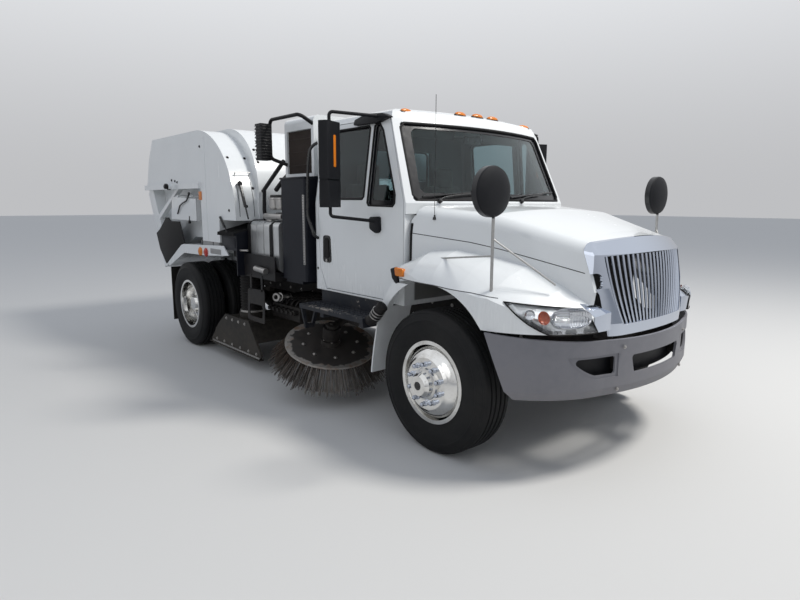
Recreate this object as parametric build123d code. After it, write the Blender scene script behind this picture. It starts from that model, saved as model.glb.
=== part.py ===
from build123d import *
import os
from math import atan2, cos, hypot, radians, sin, tan

# A regenerative-air street sweeper on a two-axle conventional cab chassis.
# Frame: +X forward, +Y to the driver's side, +Z up, origin on the ground below
# the middle of the whole length. Sizes are in millimetres.

# Driving dimensions of the whole machine
HALF_LENGTH = 3390
FRONT_AXLE_X = 2310
REAR_AXLE_X = -1970
AXLE_Z = 518
TYRE_R = 518
GAP = 6

# Chassis rails
RAIL_TOP = 980
RAIL_BOTTOM = 730
RAIL_OUT = 430
RAIL_IN = 350
RAIL_WEB = 8
RAIL_FRONT = 3130
RAIL_REAR = -2640

# Cab
CAB_REAR = 590
CAB_FRONT = 1850
CAB_HALF = 1000
CAB_FLOOR = 990
CAB_BELT = 1770
CAB_BROW = 2420
CAB_WALL = 50

# Hopper
HOPPER_HALF = 1200
HOPPER_ROOF = 2571
HOPPER_WALL = 30
TILT_X = -2620
TILT_Z = 1010

AXIS_DIRECTION = {"x": (1, 0, 0), "y": (0, 1, 0), "z": (0, 0, 1)}


def lift(axis, at, u, v):
    """Point of a flat outline, on the plane that crosses the named axis at a distance."""
    return {"x": (at, u, v), "y": (u, at, v), "z": (u, v, at)}[axis]


def outline_face(axis, at, first, steps):
    """Face drawn from a first point by straight steps (u, v) and arcs (mid u, mid v, end u, end v)."""
    edges = []
    here = first
    for step in list(steps) + [first]:
        end = step[-2:]
        if len(step) == 4:
            edges.append(ThreePointArc(
                lift(axis, at, *here), lift(axis, at, *step[:2]), lift(axis, at, *end),
            ))
        elif end != here:
            edges.append(Line(lift(axis, at, *here), lift(axis, at, *end)))
        here = end
    return make_face(edges)


def prism(axis, start, end, first, *steps):
    """Solid with one outline all the way along an axis."""
    return extrude(outline_face(axis, start, first, steps), amount=end - start, dir=AXIS_DIRECTION[axis])


def turned(first, *steps):
    """Solid of revolution about the Y axis, from an outline of (radius, y) points."""
    return revolve(outline_face("z", 0, first, steps), axis=Axis.Y)


def block(x0, x1, y0, y1, z0, z1):
    """Box between two corners."""
    return Pos((x0 + x1) / 2, (y0 + y1) / 2, (z0 + z1) / 2) * Box(abs(x1 - x0), abs(y1 - y0), abs(z1 - z0))


def bar(start, end, radius):
    """Round bar between two points."""
    way = Vector(*end) - Vector(*start)
    plane = Plane(origin=start, z_dir=way)
    return plane * Cylinder(radius, way.length, align=(Align.CENTER, Align.CENTER, Align.MIN))


def pipe(points, bend, radius):
    """Round tube bent along a line of points."""
    path = FilletPolyline(*points, radius=bend)
    return sweep(Plane(origin=path @ 0, z_dir=path % 0) * Circle(radius), path=path)


def mirrored(shape):
    """The same shape on the other side of the machine."""
    return mirror(shape, about=Plane.XZ)


def both(*shapes):
    """Shapes of one side together with their mirror images."""
    return list(shapes) + [mirrored(shape) for shape in shapes]


def fused(*shapes):
    """One body from shapes that touch or overlap."""
    total = shapes[0]
    for shape in shapes[1:]:
        total = total + shape
    return total


def write(node, *shapes):
    """Writes one node's solids to its STEP file."""
    solids = [solid for shape in shapes for solid in shape.solids()]
    export_step(Compound(solids), f"parts/{node}.step")


SIDES = (("left", 1), ("right", -1))


def on_side(side, shape):
    """A left-hand shape, or its mirror image when the side is -1."""
    return shape if side > 0 else mirrored(shape)


# Chassis frame: two channel rails, cross tubes, bumper horns and the pivot ears of the hopper
CROSS_X = (3040, 1120, 300, -600, -1000, -2480)
PIVOT_R = 25
PIN_GAP = 0.3
EAR_IN = 432
EAR_OUT = 447
CYL_BASE = (-1400, 790)
CYL_EYE = (-2300, 1080)
CYL_Y = 170
BUMPER_Z = (545, 970)
BUMPER_SKIN = 18
HOOD_PIVOT = (3285, 935)
HORN_TOP = 885
HOOD_PIN_R = 9


def chassis_frame():
    rail = block(RAIL_REAR, RAIL_FRONT, RAIL_IN, RAIL_OUT, RAIL_BOTTOM, RAIL_TOP)
    rail -= block(RAIL_REAR, RAIL_FRONT, RAIL_IN, RAIL_OUT - RAIL_WEB, RAIL_BOTTOM + 10, RAIL_TOP - 10)
    horn = block(
        RAIL_FRONT - 60, 3400, RAIL_IN + 10, RAIL_OUT, 700, HORN_TOP,
    ) & bumper_band(BUMPER_SKIN, 690, 910)
    x, z = HOOD_PIVOT
    arch = (x - 14, z), (x, z + 14, x + 14, z)
    horn += prism("y", 382, 398, (x - 40, HORN_TOP - 10), *arch, (x + 3, z - 17), (x + 3, HORN_TOP - 10))
    horn += bar((x, 388, z), (x, 432, z), HOOD_PIN_R)
    ear = prism(
        "y", RAIL_OUT, EAR_OUT, (-2640, 800), (-2470, 800), (-2560, 1050),
        (-2620, 1060, -2672, 1010),
    )
    pin = bar((TILT_X, EAR_OUT - 10, TILT_Z), (TILT_X, EAR_OUT + 34, TILT_Z), PIVOT_R)
    frame = fused(*both(rail, horn, ear, pin))
    for x in CROSS_X:
        frame += block(
            x - 40, x + 40, -RAIL_OUT + RAIL_WEB, RAIL_OUT - RAIL_WEB, RAIL_BOTTOM + 60,
            RAIL_TOP - 60,
        )
    frame += bar((CYL_BASE[0], -RAIL_OUT + 4, CYL_BASE[1]), (CYL_BASE[0], RAIL_OUT - 4, CYL_BASE[1]), 30)
    hitch = block(
        RAIL_REAR, RAIL_REAR + 20, -RAIL_OUT + RAIL_WEB, RAIL_OUT - RAIL_WEB, RAIL_BOTTOM,
        RAIL_TOP - 10,
    )
    for y in (-80, 80):
        for z in (800, 880):
            hitch -= bar((RAIL_REAR - 5, y, z), (RAIL_REAR + 25, y, z), 8.5)
    return frame + hitch


# Front bumper: one moulded shell that wraps round to the front wheels
def bumper_face(inset, z):
    nose = (HALF_LENGTH - inset, 0)
    mid = (3305 - inset, 560)
    corner = (3160 - inset * 0.8, 890 - inset * 0.6)
    tip = (2790, 1170 - inset)
    return outline_face(
        "z",
        z,
        (2700, -tip[1]),
        [
            (tip[0], -tip[1]), (corner[0], -corner[1], mid[0], -mid[1]), (*nose, *mid),
            (*corner, *tip), (2700, tip[1]),
        ],
    )


def bumper_band(inset, z0, z1):
    return extrude(bumper_face(inset, z0), amount=z1 - z0, dir=(0, 0, 1))


CHIN_Z = 600
CHIN_TUCK = 22


def bumper():
    low, high = BUMPER_Z
    chin = loft([bumper_face(CHIN_TUCK, low), bumper_face(0, CHIN_Z)], ruled=True)
    chin_hollow = loft(
        [bumper_face(CHIN_TUCK + BUMPER_SKIN, low), bumper_face(BUMPER_SKIN, CHIN_Z)], ruled=True,
    )
    shell = bumper_band(0, CHIN_Z, high) - bumper_band(BUMPER_SKIN, CHIN_Z, high)
    shell = shell + (chin - chin_hollow)
    keep = prism(
        "y", -1300, 1300, (2806, 968), (2930, 600), (2966, 545), (3450, 545), (3450, 898),
        (3000, 950),
    )
    shell = shell & keep
    centre_hole = prism("x", 3100, 3450, (-295, 672), (295, 672), (330, 795), (-330, 795))
    side_hole = prism("x", 2900, 3450, (470, 688), (620, 690), (720, 735, 800, 806), (470, 806))
    recess = prism("x", 2900, 3450, (448, 668), (625, 670), (735, 716, 826, 822), (448, 822))
    recess = recess & (bumper_band(-5, 640, 840) - bumper_band(7, 640, 840))
    centre_hole, side_hole = (
        fillet(hole.edges().filter_by(Axis.X), 22) for hole in (centre_hole, side_hole)
    )
    for cut in [centre_hole, *both(side_hole, recess)]:
        shell -= cut
    return shell


# Axles: a forged I-beam in front and a drive axle behind, each on leaf springs
KINGPIN_Y = 880
WHEEL_Y = 1022
DUAL_OUT_Y = 1082
DUAL_IN_Y = 746
SPRING_Y = (355, 425)


def leaf_spring(axle_x, half_span, low, end_z):
    y0, y1 = SPRING_Y
    first = (axle_x - half_span, end_z)
    leaf = prism(
        "y",
        y0,
        y1,
        first,
        (axle_x, low, axle_x + half_span, end_z),
        (axle_x + half_span, end_z + 30),
        (axle_x, low + 60, axle_x - half_span, end_z + 30),
    )
    ends = [block(
        axle_x + s * half_span - 30, axle_x + s * half_span + 30, y0, y1, end_z - 20, RAIL_BOTTOM,
    ) for s in (-1, 1)]
    return fused(leaf, *ends)


def front_axle():
    beam = prism(
        "x",
        FRONT_AXLE_X - 45,
        FRONT_AXLE_X + 45,
        (-850, 480),
        (-760, 470),
        (-640, 400),
        (640, 400),
        (760, 470),
        (850, 480),
        (850, 556),
        (760, 556),
        (640, 490),
        (-640, 490),
        (-760, 556),
        (-850, 556),
    )
    boss = Pos(FRONT_AXLE_X, KINGPIN_Y, AXLE_Z) * Cylinder(48, 104)
    bore = Pos(FRONT_AXLE_X, KINGPIN_Y, AXLE_Z) * Cylinder(20 + PIN_GAP, 200)
    seat = block(FRONT_AXLE_X - 70, FRONT_AXLE_X + 70, *SPRING_Y, 485, 600)
    spring = leaf_spring(FRONT_AXLE_X, 600, 595, 690)
    whole = fused(beam, *both(boss, seat, spring))
    for shape in both(bore):
        whole -= shape
    return whole


def rear_axle():
    tube = bar((REAR_AXLE_X, -600, AXLE_Z), (REAR_AXLE_X, 600, AXLE_Z), 75)
    bowl = Pos(REAR_AXLE_X, 0, AXLE_Z) * Sphere(185)
    nose = bar((REAR_AXLE_X, 0, AXLE_Z), (REAR_AXLE_X + 330, 0, AXLE_Z + 50), 95)
    shaft = bar((REAR_AXLE_X + 320, 0, AXLE_Z + 50), (1296, 0, 735), 45)
    spindle = bar((REAR_AXLE_X, 590, AXLE_Z), (REAR_AXLE_X, 1090, AXLE_Z), 45)
    plate = bar((REAR_AXLE_X, 590, AXLE_Z), (REAR_AXLE_X, 604, AXLE_Z), 200)
    seat = block(REAR_AXLE_X - 80, REAR_AXLE_X + 80, *SPRING_Y, 560, 636)
    spring = leaf_spring(REAR_AXLE_X, 590, 630, 690)
    return fused(tube, bowl, nose, shaft, *both(spindle, plate, seat, spring))


def knuckle():
    """Left steering knuckle: a fork round the axle's end, its kingpin, its arm and the wheel spindle."""
    x = FRONT_AXLE_X
    parts = []
    for z0 in (431, 575):
        parts.append(Pos(x, KINGPIN_Y, z0 + 15) * Cylinder(46, 30))
        parts.append(block(x - 44, x + 44, KINGPIN_Y, 950, z0, z0 + 30))
    parts.append(Pos(x, KINGPIN_Y, AXLE_Z) * Cylinder(20, 160))
    parts.append(block(x - 70, x + 70, 935, 953, 425, 611))
    parts.append(bar((x, 950, AXLE_Z), (x, 975, AXLE_Z), 62))
    parts.append(bar((x, 950, AXLE_Z), (x, 1140, AXLE_Z), 38))
    parts.append(block(x - 200, x - 30, KINGPIN_Y - 25, KINGPIN_Y + 15, 433, 459))
    return fused(*parts)


# Wheels: 22.5-inch rims, single in front and twin behind
BEAD_R = 286


def tyre(centre_y):
    ring = turned(
        (BEAD_R, -112),
        (300, -114),
        (405, -141, 494, -121),
        (513, -112, TYRE_R, -92),
        (TYRE_R, 92),
        (513, 112, 494, 121),
        (405, 141, 300, 114),
        (BEAD_R, 112),
    )
    return Pos(0, centre_y, 0) * ring


def rim_barrel(centre_y):
    ring = turned(
        (272, -122),
        (299, -122),
        (299, -114.2),
        (BEAD_R, -112),
        (BEAD_R, 112),
        (299, 114.2),
        (299, 122),
        (272, 122),
        (264, 60),
        (264, -60),
    )
    return Pos(0, centre_y, 0) * ring


def dish(rim_y, face_y):
    """Wheel disc that runs from the barrel to its bolting face."""
    way = 1 if face_y > rim_y else -1
    root = rim_y + 30 * way
    return turned(
        (268, root),
        (262, root + 62 * way, 205, face_y - 14 * way),
        (186, face_y),
        (80, face_y),
        (80, face_y - 13 * way),
        (180, face_y - 13 * way),
        (196, face_y - 26 * way),
        (250, root + 50 * way, 256, root),
    )


FRONT_FACE_Y = 1190
DUAL_FACE_Y = 914


def front_rim():
    hub = turned(
        (38 + PIN_GAP, 985),
        (120, 985),
        (120, 1175),
        (112, 1205),
        (92, 1210),
        (88, 1240),
        (70, 1268),
        (0, 1270),
        (0, 1146),
        (38 + PIN_GAP, 1146),
    )
    drum = turned((120, 985), (205, 985), (205, 1085), (120, 1085))
    return fused(rim_barrel(WHEEL_Y), dish(WHEEL_Y, FRONT_FACE_Y), hub, drum)


def rear_rims():
    hub = turned(
        (45 + PIN_GAP, 612),
        (120, 612),
        (120, 930),
        (105, 940),
        (98, 1120),
        (78, 1160),
        (0, 1163),
        (0, 1096),
        (45 + PIN_GAP, 1096),
    )
    drum = turned((120, 612), (205, 612), (205, 800), (120, 800))
    return fused(
        rim_barrel(DUAL_OUT_Y),
        rim_barrel(DUAL_IN_Y),
        dish(DUAL_OUT_Y, DUAL_FACE_Y),
        dish(DUAL_IN_Y, DUAL_FACE_Y),
        hub,
        drum,
    )


# Engine with gearbox, and the radiator behind the grille
def engine_and_radiator():
    engine = block(1900, 2840, -300, 300, 640, 1400)
    gearbox = block(1300, 1900, -190, 190, 690, 975)
    feet = [
        block(2500, 2600, 300, RAIL_OUT - RAIL_WEB, 830, 900),
        block(1960, 2040, 300, RAIL_OUT - RAIL_WEB, 830, 900),
    ]
    radiator = block(2880, 2960, -400, 400, RAIL_TOP, 1470)
    lower = block(2860, 2960, -340, 340, 800, RAIL_TOP)
    return fused(engine, gearbox, *both(*feet)), radiator + lower


# Cab: one rounded volume, made hollow, with its doors and windows cut from the same walls
def plan_loop(z, rear, corner_x, nose_x, half, round_rear):
    """Plan outline of the cab at one height, with a bowed front."""
    r = round_rear
    slant = r * 0.29
    return outline_face(
        "z",
        z,
        (rear + r, -half),
        [
            (corner_x, -half),
            (nose_x, 0, corner_x, half),
            (rear + r, half),
            (rear + slant, half - slant, rear, half - r),
            (rear, -half + r),
            (rear + slant, -half + slant, rear + r, -half),
        ],
    )


def cab_volume(inset):
    """The cab's outer form, or the same form drawn in by an inset."""
    d = inset
    half = CAB_HALF - d
    r = max(70 - d, 12)
    floor = CAB_FLOOR + max(d, 0) * 0.8
    lower = extrude(
        plan_loop(floor, CAB_REAR + d, CAB_FRONT + 12 - d, CAB_FRONT + 14 - d, half, r),
        amount=CAB_BELT - floor, dir=(0, 0, 1),
    )
    cowl = extrude(
        plan_loop(1690 + d, CAB_REAR + d, 1872 - d, 2035 - d, half, r), amount=CAB_BELT - 1690 - d,
        dir=(0, 0, 1),
    )
    belt = plan_loop(CAB_BELT, CAB_REAR + d, 1872 - d, 2035 - d, half, r)
    brow = plan_loop(CAB_BROW, CAB_REAR + 25 + d, 1602 - d, 1765 - d, 912 - d, r)
    glasshouse = loft([belt, brow], ruled=True)
    eave = plan_loop(2478 - d * 0.6, CAB_REAR + 40 + d, 1575 - d, 1725 - d, 880 - d, r + 10)
    top = plan_loop(2516 - d, CAB_REAR + 130 + d, 1470 - d, 1600 - d, 760 - d, r + 60)
    roof = loft([brow, eave], ruled=True) + loft([eave, top], ruled=True)
    return fused(lower, cowl, glasshouse, roof)


DOOR_OUTLINE = [
    (803, 1012), (705, 1200), (690, 1700), (700, 2425), (1583, 2425), (1844, 1775), (1844, 1300),
    (1776, 1220), (1668, 1012),
]
DOOR_OPENING = [
    (797, 1006), (699, 1199), (684, 1700), (694, 2431), (1588, 2431), (1850, 1777), (1850, 1297),
    (1782, 1217), (1673, 1006),
]
MAIN_WINDOW = [
    (800, 1800), (770, 1840), (780, 2350), (815, 2380), (1330, 2380), (1350, 2360), (1350, 1820),
    (1330, 1800),
]
VENT_WINDOW = [
    (1420, 1750), (1405, 1770), (1405, 2370), (1420, 2385), (1470, 2385), (1520, 2330),
    (1740, 1830), (1745, 1770), (1720, 1745),
]
WINDSCREEN = [
    (-930, 1800), (-915, 1785), (915, 1785), (930, 1800), (862, 2375), (845, 2390), (-845, 2390),
    (-862, 2375),
]
REAR_WINDOW = [(-420, 1850), (420, 1850), (420, 2280), (-420, 2280)]


def cab_parts():
    """Cab shell, its fixed glass, and the left door with its glass."""
    skin = cab_volume(0)
    inside = cab_volume(CAB_WALL)
    shell = skin - inside
    sill = block(600, 1900, 0, CAB_HALF - CAB_WALL - 1, 950, CAB_BELT - 5)
    door_zone = prism("y", 850, 1100, *DOOR_OUTLINE) - sill
    opening = prism("y", 850, 1100, *DOOR_OPENING) - sill
    main_window = prism("y", 500, 1100, *MAIN_WINDOW)
    vent_window = prism("y", 500, 1100, *VENT_WINDOW)
    screen_hole = prism("x", 1400, 2200, *WINDSCREEN)
    rear_hole = prism("x", 500, 700, *REAR_WINDOW)
    door = (shell & door_zone) - main_window - vent_window
    cab = shell - opening - mirrored(opening) - screen_hole - rear_hole
    pane_zone = cab_volume(18) - cab_volume(24)
    screen = pane_zone & screen_hole
    rear_pane = pane_zone & rear_hole
    door_panes = fused(pane_zone & main_window) , fused(pane_zone & vent_window)
    return cab, [screen, rear_pane], door, list(door_panes)


# Inside the cab
def dashboard():
    panel = prism(
        "y", -900, 900, (1700, 1440), (1640, 1600), (1660, 1700), (1720, 1739), (1805, 1739),
        (1805, 1440),
    )
    column = bar((1700, 470, 1560), (1450, 470, 1690), 35)
    wheel_plane = Plane(origin=(1440, 470, 1695), z_dir=(-0.89, 0, 0.46))
    ring = wheel_plane * Torus(215, 15)
    spokes = [wheel_plane * Rot(0, 0, a) * Pos(105, 0, 0) * Box(215, 34, 14) for a in (20, 160, 270)]
    return fused(panel, column, wheel_plane * Cylinder(55, 40), ring, *spokes)


def seat():
    """One high-backed air seat, of the left side."""
    y0, y1 = 250, 730
    base = block(900, 1250, 330, 650, 1030, 1270)
    cushion = prism(
        "y", y0, y1, (860, 1270), (1330, 1270), (1370, 1330, 1340, 1390), (1300, 1400), (860, 1370),
    )
    back = prism(
        "y", y0 + 15, y1 - 15, (760, 1330), (860, 1330), (940, 1380), (830, 1900),
        (740, 1950, 710, 1900),
    )
    head = prism("y", 370, 610, (722, 1925), (826, 1900), (810, 2110), (760, 2135, 712, 2110))
    return fused(base, cushion, back, head)


# Cab step under each door
def cab_step():
    tread = block(660, 1600, 970, 1205, 835, 875)
    arms = [block(x - 25, x + 25, RAIL_OUT, 1190, 795, 835) for x in (1000, 1560)]
    riser = block(700, 1600, 930, 985, 835, CAB_FLOOR)
    hanger = prism("x", 650, 672, (1000, 835), (1190, 835), (1150, 640), (1060, 640))
    hole = prism("x", 640, 680, (1040, 810), (1150, 810), (1130, 680), (1080, 680))
    return fused(tread, riser, *arms, hanger - hole)


# Water tank standing behind each side of the cab
def water_tank():
    tank = block(100, 545, 640, 1050, 1040, 2000)
    tank = fillet(tank.edges().filter_by(Axis.Z), 25)
    shelf = block(160, 460, 440, 1040, RAIL_TOP + 30, 1040)
    return tank + shelf


# Fuel tank of the sweeper's engine, with pressed ribs, on a bracket of the right rail
TANK_REAR, TANK_FRONT = -585, 60
TANK_IN, TANK_OUT = 690, 1060
TANK_LOW, TANK_HIGH = 1080, 1580
TANK_CORNER = 55
RIB_DEPTH = 8
# x of the middle of each groove, and half of its width
TANK_GROOVES = ((-555, 26), (-385, 12), (-245, 12), (-85, 26))
PANEL_OUT = 1112
PANEL_SKIN = 12


def tank_volume(inset):
    tank = block(
        TANK_REAR, TANK_FRONT, TANK_IN + inset, TANK_OUT - inset, TANK_LOW + inset, TANK_HIGH - inset,
    )
    return fillet(tank.edges().filter_by(Axis.X), TANK_CORNER - inset)


def fuel_tank():
    tank = tank_volume(0)
    core = tank_volume(RIB_DEPTH)
    for x, half in TANK_GROOVES:
        tank -= block(x - half, x + half, TANK_IN - 10, TANK_OUT + 10, TANK_LOW - 10, TANK_HIGH + 10) - core
    arm = block(-598, 0, RAIL_OUT, 620, 1000, TANK_LOW)
    shelf = block(-598, TANK_FRONT, 620, PANEL_OUT, 1000, TANK_LOW)
    panel = block(-598, TANK_FRONT, PANEL_OUT - PANEL_SKIN, PANEL_OUT, 1000, 1240)
    foot = block(-400, -200, RAIL_OUT, RAIL_OUT + 30, 840, 1000)
    return tank, fused(arm, shelf, panel, foot)


# Tool box with a sloping ribbed lid, on the bracket behind the fuel tank
def side_box():
    box = block(-960, -600, 760, 1190, 1260, 1500)
    lid = prism("x", -975, -585, (1222, 1420), (1222, 1445), (740, 1562), (740, 1500))
    box = box - prism("x", -1000, -500, (1230, 1420), (1230, 1600), (700, 1600), (700, 1545))
    return fused(box, lid, block(-618, -600, 780, 1190, 1000, 1262))


# Sweeper engine and its cowl behind the cab
def sweeper_engine():
    return block(60, 470, -420, 420, RAIL_TOP + 30, 1900)


def engine_cowl():
    outer = block(5, 520, -930, 930, 2010, 2560)
    top = fillet(outer.edges().filter_by(Axis.X).sort_by(Axis.Z)[-2:], 60)
    recess = block(45, 480, 905, 940, 2040, 2440)
    posts = [block(5, 45, 560, 600, RAIL_TOP, 2010), block(480, 520, 560, 600, RAIL_TOP, 2010)]
    feet = [block(5, 520, RAIL_IN, 600, RAIL_TOP, RAIL_TOP + 30)]
    for shape in both(recess):
        top -= shape
    return fused(top, *both(*posts, *feet))


# Black tube hoop with a finned work lamp, in front of the hopper
def lamp_frame():
    hoop = pipe(
        [(40, 925, 2130), (-45, 1060, 2190), (-45, 1060, 2550), (500, 1060, 2550), (500, 925, 2480)],
        55, 17,
    )
    hoop -= block(5, 520, 800, 930, 2000, 2600)
    lamp = block(-120, -5, 1070, 1180, 2170, 2510)
    for i in range(8):
        lamp -= block(-125, -105, 1060, 1200, 2195 + i * 40, 2215 + i * 40)
    return fused(hoop, lamp)


# Rear fenders: a white sheet over each pair of wheels, with its side skirt
def rear_fender():
    top = prism(
        "y",
        600,
        1205,
        (-2640, 985),
        (-2140, 1240),
        (-2060, 1257),
        (-965, 1298),
        (-965, 1286),
        (-2060, 1245),
        (-2136, 1228),
        (-2634, 974),
    )
    skirt = prism(
        "y", 1195, 1205, (-2640, 985), (-2140, 1240), (-2060, 1257), (-900, 1300), (-778, 1200),
        (-1400, 1160), (-2050, 1150), (-2600, 940),
    )
    inner = prism(
        "y", 595, 605, (-2640, 985), (-2140, 1240), (-2060, 1257), (-900, 1300), (-900, 1000),
        (-1400, 1100), (-2050, 1120), (-2600, 940),
    )
    carrier = block(-1120, -1040, RAIL_OUT, 600, 1010, 1080)
    feet = []
    for x0, z1 in ((-1120, 1080), (-2440, 1050)):
        feet.append(block(x0, x0 + 60, RAIL_OUT, RAIL_OUT + 20, 900, z1))
    stay = block(-2440, -2380, RAIL_OUT, 600, 1020, 1050)
    return fused(top, skirt, inner, carrier, stay, *feet)


def mud_flap():
    return block(-2585, -2573, 612, 1192, 225, 930)


# Rear lamps on a bar below the rails
def light_bar():
    rail = block(-2625, -2590, -590, 590, 640, 729)
    lamps = [block(-2637, -2625, y - 60, y + 60, 655, 715) for y in (-500, -340, 340, 500)]
    return fused(rail, *lamps)


# Hopper: side bands, a squarer middle section, a narrower tail between and behind the wheels
BAND_Y = 935
TAIL_HALF = 1020
DOOR_TOP = (-3335, 1925)
DOOR_LOW = (-2850, 920)
DOOR_THICK = 45
DOOR_PIN = (-3372, 1915)
HINGE_Y = (-800, 0, 800)


def hopper_side(inset):
    """Side outline of the outer band."""
    d = inset
    x_front = -574 - d
    arc_mid = (-1532 + (958 - d) * sin(radians(45)), 1613 + (958 - d) * cos(radians(45)))
    return [
        (x_front, 1580 + d),
        (x_front, 1613),
        (*arc_mid, -1532, HOPPER_ROOF - d),
        (-2975 + d * 0.6, HOPPER_ROOF - d),
        (-3146 + d, 2327),
        (-3270 + d, 2012),
        (-3335 + d * 1.2, 1925 + d * 0.4),
        (-1460 - d, 1925 + d),
        (-1460 - d, 1330 + d),
        (-985 - d, 1330 + d),
        (-985 - d, 1580 + d),
    ]


def hopper_middle(inset):
    """Side outline of the middle section and tail, open at the slanted rear."""
    d = inset
    r = 704 - d
    arc_mid = (-1263 + r * sin(radians(45)), 1880 + r * cos(radians(45)))
    return [
        (-559 - d, 1580 + d),
        (-559 - d, 1880),
        (*arc_mid, -1263, 2584 - d),
        (-2975 + d * 0.6, 2584 - d),
        (-3146 + d, 2327),
        (-3270 + d, 2012),
        (-3335 + d * 1.2, 1925 + d * 0.4),
    ]


def hopper_outer():
    band = prism("y", -HOPPER_HALF, HOPPER_HALF, *hopper_side(0))
    middle = prism("y", -BAND_Y, BAND_Y, *hopper_middle(0), (-2100, 1925), (-985, 1580))
    tail_line = [
        DOOR_TOP, DOOR_LOW, (-2790, 920), (-2700, 1010), (-2690, 1075), (-2120, 1340),
        (-1460, 1340), (-985, 1340), (-985, 1925),
    ]
    tail = prism("y", -TAIL_HALF, TAIL_HALF, *tail_line)
    jamb = prism("y", -1160, 1160, DOOR_TOP, DOOR_LOW, (-2790, 920), (-2700, 1010), (-3175, 1925))
    return fused(band, middle, tail, jamb)


def hopper_shell():
    w = HOPPER_WALL
    inner_band = prism("y", -HOPPER_HALF + w, HOPPER_HALF - w, *hopper_side(w))
    inner_middle = prism(
        "y", -BAND_Y + w, BAND_Y - w, *hopper_middle(w), (-2100, 1925), (-985 - w, 1580 + w),
    )
    inner_line = [
        (-3335 + w * 1.2, 1925 + w * 0.4),
        (-3420, 1880),
        (-2925, 860),
        (-2790, 950),
        (-2730, 1110),
        (-2130, 1385),
        (-1500, 1385),
        (-1025, 1385),
        (-1025, 1700),
        (-1500, 1980),
    ]
    inner_tail = prism("y", -TAIL_HALF + w, TAIL_HALF - w, *inner_line)
    shell = hopper_outer() - inner_band - inner_middle - inner_tail
    beam = block(-2560, -1000, RAIL_IN + 8, RAIL_OUT - 8, RAIL_TOP + GAP, 1340)
    beam -= prism("y", 0, 700, (-2700, 1075), (-2690, 1075), (-2120, 1340), (-2120, 1500), (-2700, 1500))
    lug = prism(
        "y", EAR_OUT + 4, EAR_OUT + 26, (-2550, 1165), (-2560, 1010), (-2620, 952, -2680, 1010),
        (-2685, 1110),
    )
    lug -= bar((TILT_X, EAR_OUT, TILT_Z), (TILT_X, EAR_OUT + 40, TILT_Z), PIVOT_R + PIN_GAP)
    return shell, beam, lug


def hopper():
    shell, beam, lug = hopper_shell()
    webs = []
    for y in (CYL_Y - 62, CYL_Y + 40):
        webs.append(prism("y", y, y + 22, (-2400, 1250), (-2360, 1040), (-2240, 1040), (-2180, 1330)))
    cross = block(-2200, -2120, -RAIL_OUT + 8, RAIL_OUT - 8, 1240, 1345)
    return fused(shell, *both(beam, lug, *webs), cross)


# Ledges, braces, access lid and seals on the hopper's side
def hopper_fittings():
    ledge = block(-3290, -1444, 1200, 1235, 1925, 1990)
    brace = prism("y", 1100, 1160, (-2330, 1925), (-2250, 1925), (-3120, 1470), (-3150, 1535))
    lid = prism("y", TAIL_HALF, TAIL_HALF + 12, (-2420, 1570), (-1640, 1570), (-1640, 1840), (-2380, 1840))
    pin = bar((-2291, 1235, 1957), (-2291, 1275, 1957), 32)
    outer = hopper_outer()
    brace -= outer
    ears = []
    for y in HINGE_Y:
        for out in (-82, 62):
            ear = prism(
                "y", y + out, y + out + 20, (-3390, 1915), (-3380, 1936), (-3256, 2040),
                (-3256, 1935), (-3358, 1905),
            )
            ears.append(ear - outer)
    return both(fused(ledge, pin), brace, lid) + ears


def rear_door():
    """Slanted tail door, hinged along its top edge."""
    dx = DOOR_LOW[0] - DOOR_TOP[0]
    dz = DOOR_LOW[1] - DOOR_TOP[1]
    length = hypot(dx, dz)
    u = (dx / length, dz / length)
    n = (-abs(u[1]), -u[0])
    gap = 5

    def at(along, out):
        return (DOOR_TOP[0] + u[0] * along + n[0] * out, DOOR_TOP[1] + u[1] * along + n[1] * out)

    panel = prism(
        "y", -1160, 1160, at(24, gap), at(length, gap), at(length, gap + DOOR_THICK),
        at(24, gap + DOOR_THICK),
    )
    knuckles = []
    for y in HINGE_Y:
        knuckles.append(bar((DOOR_PIN[0], y - 58, DOOR_PIN[1]), (DOOR_PIN[0], y + 58, DOOR_PIN[1]), 16))
        knuckles.append(prism(
            "y", y - 58, y + 58, (-3386, 1912), (-3360, 1912), at(30, 20), at(90, gap + DOOR_THICK),
        ))
    return fused(panel, *knuckles)

# Dump cylinders between the rails
CYL_R = 52


def cylinder_axis():
    dx = CYL_EYE[0] - CYL_BASE[0]
    dz = CYL_EYE[1] - CYL_BASE[1]
    length = hypot(dx, dz)
    return dx / length, dz / length, length


def along_cylinder(distance, y):
    ux, uz, _ = cylinder_axis()
    return (CYL_BASE[0] + ux * distance, y, CYL_BASE[1] + uz * distance)


def dump_barrels():
    length = cylinder_axis()[2]
    shapes = []
    for y in (-CYL_Y, CYL_Y):
        eye = bar((CYL_BASE[0], y - 35, CYL_BASE[1]), (CYL_BASE[0], y + 35, CYL_BASE[1]), 62)
        barrel = bar(along_cylinder(40, y), along_cylinder(length - 150, y), CYL_R)
        shapes.append(eye + barrel)
    tie = bar((CYL_BASE[0], -CYL_Y, CYL_BASE[1]), (CYL_BASE[0], CYL_Y, CYL_BASE[1]), 45)
    whole = fused(*shapes, tie)
    whole -= bar((CYL_BASE[0], -400, CYL_BASE[1]), (CYL_BASE[0], 400, CYL_BASE[1]), 30 + PIN_GAP)
    for y in (-CYL_Y, CYL_Y):
        whole -= bar(along_cylinder(160, y), along_cylinder(length, y), 28 + PIN_GAP)
    return whole


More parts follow.
